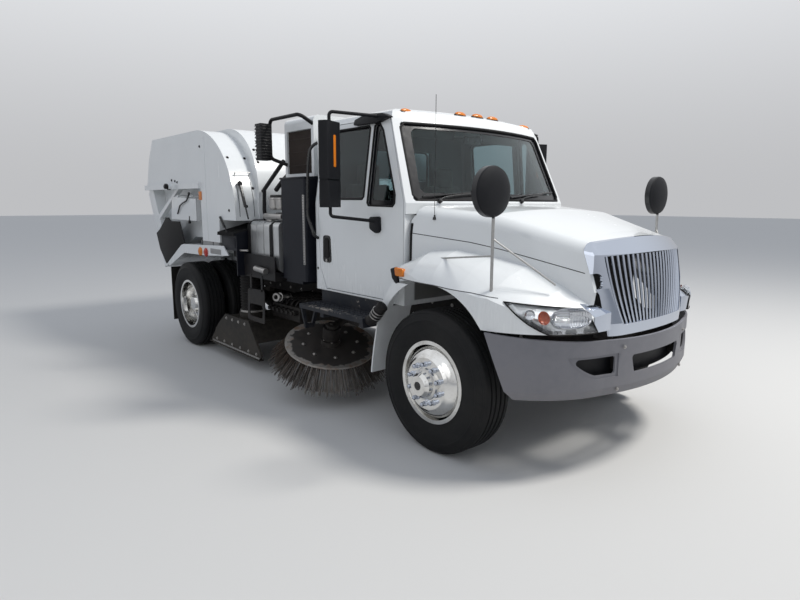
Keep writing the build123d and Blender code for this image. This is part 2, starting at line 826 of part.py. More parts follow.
def dump_rods():
    length = cylinder_axis()[2]
    shapes = []
    for y in (-CYL_Y, CYL_Y):
        rod = bar(along_cylinder(165, y), along_cylinder(length - 20, y), 28)
        eye = bar((CYL_EYE[0], y - 34, CYL_EYE[1]), (CYL_EYE[0], y + 34, CYL_EYE[1]), 42)
        shapes.append(rod + eye)
    return shapes


# Pick-up head: a wide low suction box carried under the chassis between the axles
HEAD_LOW = 145
HOSE_X = -760
HOSE_Y = 950
HOSE_TOP = 1180


def pickup_head():
    roof = prism(
        "y", -1140, 1140, (-1370, 300), (-1060, 500), (-480, 500), (-330, 300), (-360, 292),
        (-490, 486), (-1050, 486), (-1350, 288),
    )
    side = prism(
        "y", 1128, 1152, (-1465, HEAD_LOW + 15), (-1420, HEAD_LOW), (-250, HEAD_LOW),
        (-215, HEAD_LOW + 40), (-330, 330), (-480, 520), (-1050, 520), (-1250, 380),
    )
    skid = block(-1460, -225, 1120, 1170, HEAD_LOW - 10, HEAD_LOW)
    collars = []
    for y in (-HOSE_Y, HOSE_Y):
        collar = Pos(HOSE_X, y, 530) * Cylinder(150, 90)
        collars.append(collar - Pos(HOSE_X, y, 530) * Cylinder(138, 120))
    head = fused(roof, *both(side, skid), *collars)
    for y in (-HOSE_Y, HOSE_Y):
        head -= Pos(HOSE_X, y, 500) * Cylinder(138, 60)
    lift_arm = block(-560, -500, 455, 500, 486, 640)
    return fused(head, *both(lift_arm))


# Ribbed suction and pressure hoses between the head and the hopper


def suction_hoses():
    hoses = []
    for y in (-HOSE_Y, HOSE_Y):
        rings = [(125, 560)]
        z = 560
        while z < HOSE_TOP - 40:
            rings.append((134, z + 22))
            rings.append((124, z + 44))
            z += 44
        rings.append((124, HOSE_TOP))
        profile = outline_face("y", 0, (110, 560), [*rings, (110, HOSE_TOP)])
        hoses.append(Pos(HOSE_X, y, 0) * revolve(profile, axis=Axis.Z))
    return hoses


def air_ducts():
    """Box ducts from the top of each hose in to the fan below the hopper."""
    duct = block(-895, -625, 480, 1090, HOSE_TOP, 1255)
    foot = block(-890, -640, RAIL_OUT, 480, 900, 1255)
    return both(duct + foot)


# Gutter brooms, stowed with their front edge low, and the arms that carry them
BROOM = (790, 960, 500)
BROOM_DOWN = (-0.32, -0.10, 1)


def broom_plane(side):
    return Plane(
        origin=(BROOM[0], BROOM[1] * side, BROOM[2]), x_dir=(1, 0, 0.32),
        z_dir=(0.32, 0.11 * side, 1),
    )


def broom_disc(side):
    plane = broom_plane(side)
    plate = plane * Pos(0, 0, -15) * Cylinder(415, 14)
    hub = plane * Pos(0, 0, 10) * Cylinder(90, 50)
    return fused(plate, hub) - plane * Pos(0, 0, 10) * Cylinder(20 + PIN_GAP, 100)


def broom_bristles(side):
    ring = outline_face("y", 0, (300, -22), [(412, -22), (600, -225), (440, -215)])
    return broom_plane(side) * revolve(ring, axis=Axis.Z)


def broom_arm(side):
    plane = broom_plane(side)
    motor = plane * Pos(0, 0, 105) * Cylinder(80, 120) + plane * Pos(0, 0, 30) * Cylinder(20, 70)
    arm = bar((700, 492 * side, 800), (830, 965 * side, 640), 38)
    sleeve = bar((640, 492 * side, 800), (760, 492 * side, 800), 42)
    return fused(motor, arm, sleeve)


# Hood: tapering bonnet with round fenders, tilting forward about a low front hinge


def hood_section(x, low, crease, shoulder, top, crown_z):
    """Cross section of the hood from (half width, z) points of one side and the crown's height."""
    bulge_y = (shoulder[0] + top[0]) / 2 + 0.33 * (shoulder[0] - top[0]) / 2
    bulge_z = (shoulder[1] + top[1]) / 2 + 0.33 * (top[1] - shoulder[1]) / 2
    return outline_face(
        "x",
        x,
        (-low[0], low[1]),
        [
            (-crease[0], crease[1]),
            (-shoulder[0], shoulder[1]),
            (-bulge_y, bulge_z, -top[0], top[1]),
            (0, crown_z, *top),
            (bulge_y, bulge_z, *shoulder),
            crease,
            low,
        ],
    )


# x, then (half width, z) low, at the crease, at the shoulder and at the top, then the crown's z
HOOD_SECTIONS = [
    (1862, (968, 1000), (958, 1545), (938, 1690), (850, 1758), 1775),
    (2500, (850, 1000), (808, 1440), (788, 1610), (700, 1698), 1728),
    (3080, (668, 1000), (628, 1345), (614, 1462), (530, 1540), 1582),
    (3400, (560, 1000), (520, 1290), (515, 1400), (440, 1470), 1515),
]


def hood_volume(inset, low_z=1000):
    loops = []
    for x, *points, crown in HOOD_SECTIONS:
        low, crease, shoulder, top = [(half - inset, z - inset) for half, z in points]
        loops.append(hood_section(x, (low[0], low_z), crease, shoulder, top, crown - inset))
    return loft(loops, ruled=True)


# x, then (y, z) of the fender's skin at the seam outside, half way up and where it meets the hood's side
FENDER_SECTIONS = [
    (1893, (1160, 1225), (1075, 1300), (945, 1336)),
    (2090, (1160, 1215), (1075, 1345), (900, 1428)),
    (2300, (1160, 1205), (1065, 1350), (850, 1443)),
    (2565, (1160, 1195), (1030, 1320), (790, 1407)),
    (2800, (1160, 1165), (980, 1278), (715, 1356)),
    (3040, (1160, 1040), (850, 1172), (640, 1245)),
    (3200, (1160, 930), (760, 1090), (585, 1145)),
    (3300, (1160, 860), (740, 1035), (560, 1080)),
]
ARCH = (2290, 630, 586)
FENDER_LOW = 975
TIP_Z = 1216


def fender_volume(inset):
    """Left fender: cross sections along the wheel, trimmed to the curved plan outline."""
    d = inset
    first_x = FENDER_SECTIONS[0][0] + d
    last_x = FENDER_SECTIONS[-1][0] - d
    loops = []
    for x, seam, middle, inner in FENDER_SECTIONS:
        at = min(max(x, first_x), last_x)
        steps = [(seam[0] - d, 450), (seam[0] - d, seam[1] - d)]
        steps += [(middle[0] - d, middle[1] - d, inner[0], inner[1] - d), (500, inner[1] - d)]
        loops.append(outline_face("x", at, (500, 450), steps))
    body = loft(loops, ruled=True)
    outline = [(1850, 1000 - d), (1885, 1095 - d), (2080, 1140 - d, 2330, 1152 - d), (2740, 1150 - d)]
    outline += [(3130 - d, 940 - d, 3290 - d, 560), (3290 - d, 500)]
    return body & prism("z", 400, 1500, (1850, 500), *outline)


def joint_zone(gap):
    """Space of the chrome surround, in front of the hood's curved front edge."""
    loops = []
    for z, side_x, centre_x in ((900, 3262, 3300), (1200, 3212, 3300), (1650, 3040, 3189)):
        side = (side_x - gap, 660)
        steps = [(centre_x - gap, 0, side[0], 660), (3500, 660), (3500, -660)]
        loops.append(outline_face("z", z, (side[0], -660), steps))
    return loft(loops, ruled=True)


def corner_zone(gap):
    """Space of the chrome piece between the surround and the lamp."""
    return prism(
        "z", 900, 1215, (3167 - gap, 665 + gap), (3212 - gap, 600), (3262 - gap, 480), (3400, 480),
        (3400, 665 + gap),
    )


def hood():
    outer = hood_volume(0) + fender_volume(0) + mirrored(fender_volume(0))
    inner = hood_volume(20) + fender_volume(20) + mirrored(fender_volume(20))
    arch_x, arch_z, arch_r = ARCH
    arch = bar((arch_x, 560, arch_z), (arch_x, 1300, arch_z), arch_r)
    shell = outer - inner
    shell -= block(1880, 3060, -620, 620, 900, 1260)
    shell -= block(1700, 3400, -560, 560, 900, 1180)
    shell -= block(1700, 3400, -1300, 1300, 400, FENDER_LOW)
    shell -= block(1700, arch_x, -1300, 1300, 400, TIP_Z)
    shell -= prism("y", -1100, 1100, (1850, 1600), (1850, 1700), (1912, 1700))
    for shape in both(arch, corner_zone(3), lamp_zone(1)):
        shell -= shape
    return shell - cab_volume(-GAP * 2) - joint_zone(3)


# Rear part of each front wheel arch, fixed under the cab
def fender_quarter():
    rear = [(1640, 700, 1705, 950), (1775, 1072, 1865, 1187)]
    sheet = prism(
        "y", 800, 1120, (1595, 430), *rear, (1880, 1187), (1789, 1066, 1719, 950),
        (1654, 700, 1609, 430),
    )
    sheet -= block(1500, 2000, 700, 1006, 975, 1300)
    side = prism("y", 1108, 1120, (1705, 950), rear[1], (2035, 1187), (1890, 1095, 1775, 958), (1695, 880))
    bracket = block(1600, 1680, 935, 980, 845, 865)
    return fused(sheet, side, bracket)


# Grille: a chrome surround with upright bars, bowed and leaning back, and its hinge plates
GRILLE_BARS = 21
SURROUND_SKIN = 14
# z, x of the nose, half width and x of the face's edge, half width and x of the side
SURROUND_SECTIONS = [
    (930, 3352, 395, 3322, 500, 3286),
    (1010, 3354, 405, 3322, 512, 3280),
    (1240, 3333, 489, 3275, 592, 3205),
    (1450, 3303, 520, 3226, 640, 3120),
    (1600, 3190, 520, 3100, 640, 3000),
]


def corner_middle(face_half, face_x, side_half, side_x, nose_x):
    """Middle of an arc that leaves the face smoothly towards the side."""
    run = side_half - face_half
    drop = face_x - side_x
    chord = hypot(run, drop)
    slope = atan2(2 * (nose_x - face_x), face_half)
    sag = chord / 2 * tan((atan2(drop, run) - slope) / 2)
    return ((face_half + side_half) / 2 + sag * drop / chord, (face_x + side_x) / 2 + sag * run / chord)


def surround_volume(inset):
    """Form of the chrome surround, reaching back to a flat plane."""
    d = inset
    back = 2950
    loops = []
    for z, nose, face_half, face_x, side_half, side_x in SURROUND_SECTIONS:
        half, x = corner_middle(face_half, face_x, side_half, side_x, nose)
        right = [(face_x - d, face_half), (x - d * 0.8, half - d * 0.6), (side_x - d * 0.5, side_half - d)]
        steps = [(back, -right[2][1]), (right[2][0], -right[2][1])]
        steps += [(right[1][0], -right[1][1], right[0][0], -right[0][1]), (nose - d, 0, *right[0])]
        steps += [(*right[1], *right[2]), (back, right[2][1])]
        loops.append(outline_face("z", z, steps[0], steps[1:]))
    return loft(loops, ruled=True)


def face_x_at(y, z):
    """X of the surround's front face at a width and height."""
    nose, edge, half = (
        3354 + (3303 - 3354) * (z - 1010) / 440, 3322 + (3226 - 3322) * (z - 1010) / 440,
        405 + 115 * (z - 1010) / 440,
    )
    bow = 8 * (1 - ((z - 1230) / 220) ** 2)
    return nose + bow - (nose - edge) * (y / half) ** 2


def grille():
    body = surround_volume(0) & hood_volume(-3, 920)
    body -= surround_volume(SURROUND_SKIN) & hood_volume(SURROUND_SKIN, 900)
    body = body & joint_zone(0)
    hole = prism(
        "x", 3000, 3450, (-400, 1003), (400, 1003), (489, 1248, 516, 1439), (0, 1453, -516, 1439),
        (-489, 1248, -400, 1003),
    )
    intake = prism("x", 3000, 3450, (548, 1285), (576, 1235, 604, 1285), (576, 1335, 548, 1285))
    body -= hole
    for shape in both(intake):
        body -= shape
    corner = (fender_volume(-2) - fender_volume(12)) & corner_zone(0)
    corner = corner - surround_volume(0) - lamp_zone(1) - block(3000, 3400, 400, 700, 800, FENDER_LOW)
    bars = []
    for i in range(GRILLE_BARS):
        t = (i + 0.5) / GRILLE_BARS * 2 - 1
        points = []
        for half, z in ((402, 998), (487, 1225), (516, 1446)):
            points.append((face_x_at(half * t, z) - 12, half * t, z))
        path = ThreePointArc(*points)
        bars.append(sweep(Plane(origin=path @ 0, z_dir=path % 0) * Circle(9), path=path))
    return fused(body, *bars), corner


def hood_hinges():
    x, z = HOOD_PIVOT
    plate = prism(
        "y", 404, 420, (x - 14, z), (x, z - 14, x + 14, z), (x + 18, z + 20), (3340, z + 27),
        (3340, 1000), (3262, 1000),
    )
    plate -= bar((x, 400, z), (x, 425, z), HOOD_PIN_R + PIN_GAP)
    return plate & (surround_volume(SURROUND_SKIN) & hood_volume(SURROUND_SKIN, 900))


# Headlamps let into the fender's front corners
def lamp_zone(scale):
    plane = Plane(origin=(2950, 767, 1085), x_dir=(-0.585, 0.811, 0), z_dir=(0.811, 0.585, 0))
    points = [(296, 85), (38, 57), (-214, 36), (-307, -110), (-120, -118), (29, -110), (174, -36)]
    around = [(u * scale, (v + 15) * scale - 15) for u, v in points]
    tip, top, inner_top, inner_low, low_a, low_b, low_c = around
    steps = [
        ThreePointArc(tip, top, inner_top),
        Line(inner_top, inner_low),
        ThreePointArc(inner_low, low_a, low_b),
        ThreePointArc(low_b, low_c, tip),
    ]
    face = plane * make_face(steps)
    return extrude(face, amount=420, dir=(0.811, 0.585, 0))


def headlamp():
    """Lens and housing that follow the fender's skin, a little proud of it."""
    return (fender_volume(-4) - fender_volume(45)) & lamp_zone(0.985) & block(
        2700, 3400, 500, 1300, FENDER_LOW - 1, 1300,
    )


# Round convex mirror on a post of each fender
def fender_mirror():
    post = bar((2786, 1080, 1150), (2786, 1080, 1850), 10)
    head = Pos(2760, 1080, 1842) * Rot(0, 90, 0) * Cylinder(158, 40)
    stay_rear = bar((2784, 1080, 1444), (2240, 1004, 1385), 6)
    stay_front = bar((2788, 1080, 1551), (3052, 774, 1262), 6)
    return fused(post, head, stay_rear, stay_front) - fender_volume(0) - hood_volume(0)


# Rear-view mirror on two tubes, carried by the door
def door_mirror():
    plane = Plane(origin=(1335, 1310, 2060), x_dir=(0.42, 0.907, 0), z_dir=(0, 0, 1))
    upper, lower = (
        plane * Pos(0, 0, z) * fillet(Box(205, 90, tall).edges().filter_by(Axis.Z), 24)
        for z, tall in ((105, 430), (-225, 200))
    )
    neck = plane * Pos(0, 0, -118) * Box(190, 70, 20)
    top_tube = pipe([(1335, 1310, 2370), (1335, 1310, 2455), (1480, 905, 2440)], 30, 13)
    low_tube = pipe([(1335, 1310, 1745), (1335, 1310, 1665), (1550, 1001, 1625)], 30, 13)
    return fused(upper, lower, neck, top_tube, low_tube) - cab_volume(0)


def build():
    write("frame_rails", chassis_frame())
    write("bumper", bumper())
    write("front_axle", front_axle())
    write("rear_axle", rear_axle())
    engine, radiator = engine_and_radiator()
    write("engine_block", engine)
    write("radiator", radiator)
    cab, fixed_glass, door, door_panes = cab_parts()
    write("cab_shell", cab)
    write("cab_glass", *fixed_glass)
    for name, side in SIDES:
        write(f"door_{name}", on_side(side, door))
        write(f"door_glass_{name}", *[on_side(side, pane) for pane in door_panes])
        write(f"door_mirror_{name}", on_side(side, door_mirror()))
        write(f"knuckle_{name}", on_side(side, knuckle()))
        place = Pos(FRONT_AXLE_X, 0, AXLE_Z)
        write(f"front_tyre_{name}", on_side(side, place * tyre(WHEEL_Y)))
        write(f"front_rim_{name}", on_side(side, place * front_rim()))
        place = Pos(REAR_AXLE_X, 0, AXLE_Z)
        write(
            f"rear_tyres_{name}", on_side(side, place * tyre(DUAL_OUT_Y)),
            on_side(side, place * tyre(DUAL_IN_Y)),
        )
        write(f"rear_rims_{name}", on_side(side, place * rear_rims()))
        write(f"broom_disc_{name}", broom_disc(side))
        write(f"broom_bristles_{name}", broom_bristles(side))
        write(f"broom_arm_{name}", broom_arm(side))
    write("dashboard", dashboard())
    write("seats", *both(seat()))
    write("cab_steps", *both(cab_step()))
    write("water_tanks", *both(water_tank()))
    tank, bracket = fuel_tank()
    write("fuel_tank", mirrored(tank))
    write("tank_bracket", mirrored(bracket))
    write("side_box", mirrored(side_box()))
    write("sweeper_engine", sweeper_engine())
    write("engine_cowl", engine_cowl())
    write("lamp_frame", mirrored(lamp_frame()))
    write("rear_fenders", *both(rear_fender()))
    write("mud_flaps", *both(mud_flap()))
    write("fender_quarters", *both(fender_quarter()))
    write("light_bar", light_bar())
    write("hopper_shell", hopper())
    write("hopper_fittings", *hopper_fittings())
    write("hopper_rear_door", rear_door())
    write("dump_barrels", dump_barrels())
    write("dump_rods", *dump_rods())
    write("pickup_head", pickup_head())
    write("suction_hoses", *suction_hoses())
    write("air_ducts", *air_ducts())
    write("hood", hood())
    surround, corner = grille()
    write("grille", surround, *both(corner))
    write("hood_hinges", *both(hood_hinges()))
    write("headlamps", *both(headlamp()))
    write("fender_mirrors", *both(fender_mirror()))


build()
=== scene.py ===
import math
import random

import bpy
from mathutils import Matrix, Vector


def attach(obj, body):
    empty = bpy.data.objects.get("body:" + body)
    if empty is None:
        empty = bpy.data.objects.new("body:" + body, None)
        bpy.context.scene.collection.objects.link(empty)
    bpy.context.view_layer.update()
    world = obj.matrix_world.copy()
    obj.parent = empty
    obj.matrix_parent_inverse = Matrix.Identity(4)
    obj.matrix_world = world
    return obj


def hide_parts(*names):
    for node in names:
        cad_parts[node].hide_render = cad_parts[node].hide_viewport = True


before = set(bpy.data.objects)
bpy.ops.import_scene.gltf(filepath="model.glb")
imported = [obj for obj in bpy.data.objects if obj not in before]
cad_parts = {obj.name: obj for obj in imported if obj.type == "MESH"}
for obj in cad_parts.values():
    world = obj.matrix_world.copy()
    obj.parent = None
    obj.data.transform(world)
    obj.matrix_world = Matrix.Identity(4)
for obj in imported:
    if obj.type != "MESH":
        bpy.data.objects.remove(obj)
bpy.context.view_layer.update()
bpy.ops.object.select_all(action="DESELECT")
random.seed(7)

# The yard view: the truck stands nose forward on a pale floor, seen from the kerb side a little above the
# bonnet, under a wide soft lamp on the far side and a grey sky.
EYE_PLACE = (5.167, -3.903, 1.773)
EYE_TURN = math.radians(139.14 - 90)
EYE_TILT = math.radians(90 - 9.5)
EYE_ROLL = math.radians(0.22)
EYE_LENS = 26.19
FLOOR_COLOUR = (0.66, 0.65, 0.63, 1)
FLOOR_SIZE = 160
SKY_HIGH = (0.47, 0.51, 0.58, 1)
SKY_LOW = (0.26, 0.27, 0.29, 1)
SEEN_HIGH = (0.93, 0.95, 0.98, 1)
SEEN_LOW = (0.52, 0.525, 0.54, 1)

eye = bpy.data.cameras.new("Eye")
eye.lens = EYE_LENS
eye.clip_end = 200
camera = bpy.data.objects.new("Eye", eye)
bpy.context.scene.collection.objects.link(camera)
camera.matrix_world = (
    Matrix.Translation(EYE_PLACE)
    @ Matrix.Rotation(EYE_TURN, 4, "Z")
    @ Matrix.Rotation(EYE_TILT, 4, "X")
    @ Matrix.Rotation(EYE_ROLL, 4, "Z")
)
bpy.context.scene.camera = camera
bpy.context.scene.view_settings.view_transform = "Standard"


class Shade:
    """One output of a material's nodes, so that arithmetic on it adds Math nodes."""

    def __init__(self, tree, socket):
        self.tree = tree
        self.socket = socket

    def node(self, kind, settings, inputs, output=0):
        made = self.tree.nodes.new("ShaderNode" + kind)
        for name, value in settings.items():
            setattr(made, name, value)
        for name, value in inputs.items():
            self.feed(made, name, value)
        return Shade(self.tree, made.outputs[output])

    def feed(self, made, name, value):
        if isinstance(value, Shade):
            self.tree.links.new(value.socket, made.inputs[name])
        else:
            made.inputs[name].default_value = value

    def maths(self, operation, first, second=0.0):
        return self.node("Math", {"operation": operation}, {0: first, 1: second})

    def __add__(self, other):
        return self.maths("ADD", self, other)

    def __sub__(self, other):
        return self.maths("SUBTRACT", self, other)

    def __rsub__(self, other):
        return self.maths("SUBTRACT", other, self)

    def __mul__(self, other):
        return self.maths("MULTIPLY", self, other)

    __radd__ = __add__
    __rmul__ = __mul__

    def size(self):
        return self.maths("ABSOLUTE", self)

    def wave(self):
        return self.maths("SINE", self)

    def between(self, low, high):
        """Rises smoothly from 0 at low to 1 at high, or falls if low is the larger."""
        limits = {"Value": self, "From Min": low, "From Max": high}
        return self.node("MapRange", {"interpolation_type": "SMOOTHSTEP"}, limits)

    def mix(self, first, second):
        """The first colour where this mask is 0 and the second where it is 1."""
        return self.node("Mix", {"data_type": "RGBA"}, {0: self, 6: first, 7: second}, 2)

    def noise(self, scale, detail=4):
        return self.node("TexNoise", {}, {"Vector": self, "Scale": scale, "Detail": detail})

    def stretched(self, x, y, z):
        return self.node("Mapping", {}, {"Vector": self, "Scale": (x, y, z)})

    def axis(self, index):
        return self.node("SeparateXYZ", {}, {0: self}, index)


def light_world():
    """A grey sky, darker to the camera at the horizon than it is as a source of light."""
    world = bpy.data.worlds.new("Sky")
    bpy.context.scene.world = world
    world.use_nodes = True
    tree = world.node_tree
    sky = Shade(tree, tree.nodes.new("ShaderNodeTexCoord").outputs["Generated"])
    paths = tree.nodes.new("ShaderNodeLightPath")
    height = sky.axis(2).between(0.0, 0.55)
    seen = Shade(tree, paths.outputs["Is Camera Ray"])
    for ray in ("Is Glossy Ray", "Is Transmission Ray"):
        seen = seen.maths("MAXIMUM", seen, Shade(tree, paths.outputs[ray]))
    colour = seen.mix(height.mix(SKY_LOW, SKY_HIGH), height.mix(SEEN_LOW, SEEN_HIGH))
    sky.feed(tree.nodes["Background"], "Color", colour)


light_world()


def lamp(name, place, target, width, power, colour=(1, 1, 1)):
    """A round soft lamp aimed at a place."""
    data = bpy.data.lights.new(name, "AREA")
    data.shape = "DISK"
    data.size = width
    data.energy = power
    data.color = colour
    light = bpy.data.objects.new(name, data)
    bpy.context.scene.collection.objects.link(light)
    light.location = place
    light.rotation_euler = (Vector(target) - Vector(place)).to_track_quat("-Z", "Y").to_euler()


lamp("Key", (6.6, 3.6, 10.5), (0, 0, 0.8), 2.6, 1060, (1, 0.98, 0.94))
lamp("Fill", (4.5, -9.0, 4.5), (0, 0, 1), 6.0, 60)


def new_finish(name, **fixed):
    """A material with the same value all over each named socket, and the object's own coordinates."""
    material = bpy.data.materials.new(name)
    material.use_nodes = True
    tree = material.node_tree
    shader = tree.nodes["Principled BSDF"]
    for socket, value in fixed.items():
        shader.inputs[socket.replace("_", " ")].default_value = value
    return material, shader, Shade(tree, tree.nodes.new("ShaderNodeTexCoord").outputs["Object"])


bpy.ops.mesh.primitive_plane_add(size=FLOOR_SIZE)
floor = bpy.context.object
floor.name = "Floor"
floor.data.materials.append(new_finish("Floor", Base_Color=FLOOR_COLOUR, Roughness=0.9)[0])

# The chassis: two pressed channel rails with crossmembers, axles on leaf springs, an engine and brackets,
# in black chassis paint with road dust settled on it, thickest near the ground. The rails are held by
# rows of hexagon bolts.
DUST = (0.2, 0.17, 0.135, 1)
RAIL_SIDE = 0.43
ORIGIN, OUTWARD, UP = (0, 0, 0), (0, -1, 0), (0, 0, 1)
DULL = 0.2
RAIL_BOLTS_X = [-2.5 + 0.24 * number for number in range(22)]
RAIL_BOLTS_Z = (0.785, 0.925)


def roughen(shader, strength, distance, height):
    """A bump from a height on a shader's normal."""
    bump = {"Strength": strength, "Distance": distance, "Height": height}
    height.feed(shader, "Normal", height.node("Bump", {}, bump))


def worked_finish(
    name, colour, roughness, dust, grain=0.0, grain_scale=400, low=0.2, high=1.6, dark=0.86, **fixed
):
    """Paint or plastic that varies a little, carries dust low down and may have a grain."""
    material, shader, place = new_finish(name, **fixed)
    cloud = place.noise(2.3, 5)
    fine = place.noise(23, 6)
    lower = 1 - place.axis(2).between(low, high)
    dirt = (fine * 0.6 + cloud * 0.6 - 0.25 + lower * 0.35).between(0.25, 0.95) * dust
    tone = (cloud * 0.7 + fine * 0.3).between(0.35, 0.65)
    darker = tuple(c * dark for c in colour[:3]) + (1,)
    place.feed(shader, "Base Color", dirt.mix(tone.mix(darker, colour), DUST))
    place.feed(shader, "Roughness", dirt * 0.35 + fine * 0.1 + (roughness - 0.05))
    if grain:
        roughen(shader, grain, 0.002, place.noise(grain_scale, 2))
    return material


def dull_finish(*values):
    """A worked finish with a faint sheen."""
    return worked_finish(*values, Specular_IOR_Level=DULL)


def dress(nodes, material):
    """Gives carried-over CAD nodes their finish."""
    for name in nodes.split():
        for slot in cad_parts[name].material_slots:
            slot.material = material


def alone(piece):
    """Selects one piece and nothing else."""
    bpy.ops.object.select_all(action="DESELECT")
    bpy.context.view_layer.objects.active = piece
    piece.select_set(True)
    return piece


def start(kind, name, **size):
    """A primitive at its size and place, with nothing else selected."""
    bpy.ops.object.select_all(action="DESELECT")
    getattr(bpy.ops.mesh, "primitive_" + kind + "_add")(**size)
    piece = bpy.context.object
    piece.name = name
    return piece


def settle(piece):
    """Puts a piece's place and turn into its mesh."""
    alone(piece)
    bpy.ops.object.transform_apply(location=True, rotation=True, scale=True)
    return piece


def step(piece, kind, **settings):
    """Adds a modifier and applies it."""
    alone(piece)
    added = piece.modifiers.new("Step", kind)
    for name, value in settings.items():
        setattr(added, name, value)
    bpy.ops.object.modifier_apply(modifier=added.name)
    return piece


def outline(name, points, filled=True):
    """A ring of points in order, filled or not."""
    piece = start("circle", name, vertices=len(points), fill_type="NGON" if filled else "NOTHING")
    for vertex, place in zip(piece.data.vertices, points):
        vertex.co = place
    return piece


def facing_out(*steps):
    """Runs edit-mode operators on the whole active mesh, then merges doubles and turns its faces outwards."""
    bpy.ops.object.mode_set(mode="EDIT")
    bpy.ops.mesh.select_all(action="SELECT")
    for operator, settings in steps:
        getattr(bpy.ops.mesh, operator)(**settings)
    bpy.ops.mesh.select_all(action="SELECT")
    bpy.ops.mesh.remove_doubles(threshold=0.0001)
    bpy.ops.mesh.delete_loose()
    bpy.ops.mesh.select_all(action="SELECT")
    bpy.ops.mesh.normals_make_consistent(inside=False)
    bpy.ops.object.mode_set(mode="OBJECT")


def lathe(name, profile, centre, axis, sides=48):
    """A turned shape from a closed profile of (radius, distance along the axis)."""
    centre, along = Vector(centre), Vector(axis).normalized()
    out = along.orthogonal().normalized()
    piece = outline(name, [centre + out * radius + along * far for radius, far in profile], False)
    facing_out(("spin", {"steps": sides, "angle": math.tau, "center": centre, "axis": along}))
    return piece


def block(name, low, high, edge=0.004, turn=(0, 0, 0)):
    """A block between two corners with rounded edges, turned about its middle."""
    low, high = Vector(low), Vector(high)
    piece = start("cube", name, size=1, location=(low + high) / 2, rotation=turn, scale=high - low)
    settle(piece)
    return step(piece, "BEVEL", width=edge, segments=2)


def plate(name, points, push, edge=0.0):
    """A flat outline pushed out into a plate."""
    piece = outline(name, points)
    facing_out(("extrude_region_move", {"TRANSFORM_OT_translate": {"value": tuple(push)}}))
    if edge:
        step(piece, "BEVEL", width=edge, segments=2, limit_method="ANGLE")
    return piece


def pipe(name, points, radius, smooth=False, closed=False, sides=3):
    """A round bar, pipe or cable along a line of points."""
    curve = bpy.data.curves.new(name, "CURVE")
    curve.dimensions = "3D"
    curve.bevel_depth = radius
    curve.bevel_resolution = sides
    curve.use_fill_caps = True
    spline = curve.splines.new("NURBS" if smooth else "POLY")
    spline.points.add(len(points) - 1)
    for point, place in zip(spline.points, points):
        point.co = (*place, 1)
    spline.use_cyclic_u = closed
    if smooth:
        spline.order_u = 3
        spline.use_endpoint_u = not closed
    piece = bpy.data.objects.new(name, curve)
    bpy.context.scene.collection.objects.link(piece)
    alone(piece)
    bpy.ops.object.convert(target="MESH")
    return bpy.context.object


def joined(name, pieces):
    """One mesh from several pieces."""
    alone(pieces[0])
    for piece in pieces[1:]:
        piece.select_set(True)
    if len(pieces) > 1:
        bpy.ops.object.join()
    pieces[0].name = name
    return pieces[0]


def copied(piece, matrix):
    """Another piece with its own mesh, moved, turned or mirrored."""
    copy = piece.copy()
    copy.data = piece.data.copy()
    bpy.context.scene.collection.objects.link(copy)
    copy.data.transform(matrix)
    if matrix.determinant() < 0:
        copy.data.flip_normals()
    return copy


def repeated(name, piece, matrices):
    """One mesh of copies of a settled piece, which goes."""
    settle(piece)
    copies = [copied(piece, matrix) for matrix in matrices]
    bpy.data.objects.remove(piece)
    return joined(name, copies)


def bolts(name, places, axis, radius=0.009):
    """Hexagon heads on washers at the places given."""
    profile = [(0, -0.002), (radius * 1.6, -0.002), (radius * 1.6, 0.0015), (radius, 0.002)]
    profile += [(radius, radius * 0.7), (radius * 0.85, radius * 0.85), (0, radius * 0.85)]
    head = lathe("Head", profile, ORIGIN, axis, 6)
    return repeated(name, head, [Matrix.Translation(place) for place in places])


def fit(piece, body, material, angle=35):
    """Smooths and paints a piece and hangs it on its body."""
    settle(piece)
    bpy.ops.object.shade_smooth_by_angle(angle=math.radians(angle))
    piece.data.materials.clear()
    piece.data.materials.append(material)
    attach(piece, body)
    return piece


ACROSS = Matrix.Scale(-1, 4, (0, 1, 0))


def pair(piece, body, material, angle=35):
    """Fits a right-hand piece and its mirror image on the left. SIDE in the body's name is right or left."""
    settle(piece)
    other = copied(piece, ACROSS)
    other.name = piece.name + "_left"
    piece.name = piece.name + "_right"
    fit(piece, body.replace("SIDE", "right"), material, angle)
    fit(other, body.replace("SIDE", "left"), material, angle)


chassis_black = dull_finish("ChassisBlack", (0.009, 0.009, 0.011, 1), 0.45, 0.16)
dress("frame_rails tank_bracket lamp_frame air_ducts hood_hinges", chassis_black)
dress("broom_arm_left broom_arm_right dump_barrels", chassis_black)
cast_black = dull_finish("CastBlack", (0.012, 0.012, 0.013, 1), 0.6, 0.22, 0.4, 300)
dress("front_axle rear_axle engine_block sweeper_engine radiator knuckle_left knuckle_right", cast_black)
bare_steel = worked_finish("BareSteel", (0.45, 0.44, 0.43, 1), 0.35, 0.25, Metallic=0.9)
dress("dump_rods", bare_steel)

rail_places = [(x, -RAIL_SIDE, z) for x in RAIL_BOLTS_X for z in RAIL_BOLTS_Z]
pair(bolts("Rail_bolts", rail_places, OUTWARD, 0.011), "chassis", bare_steel)

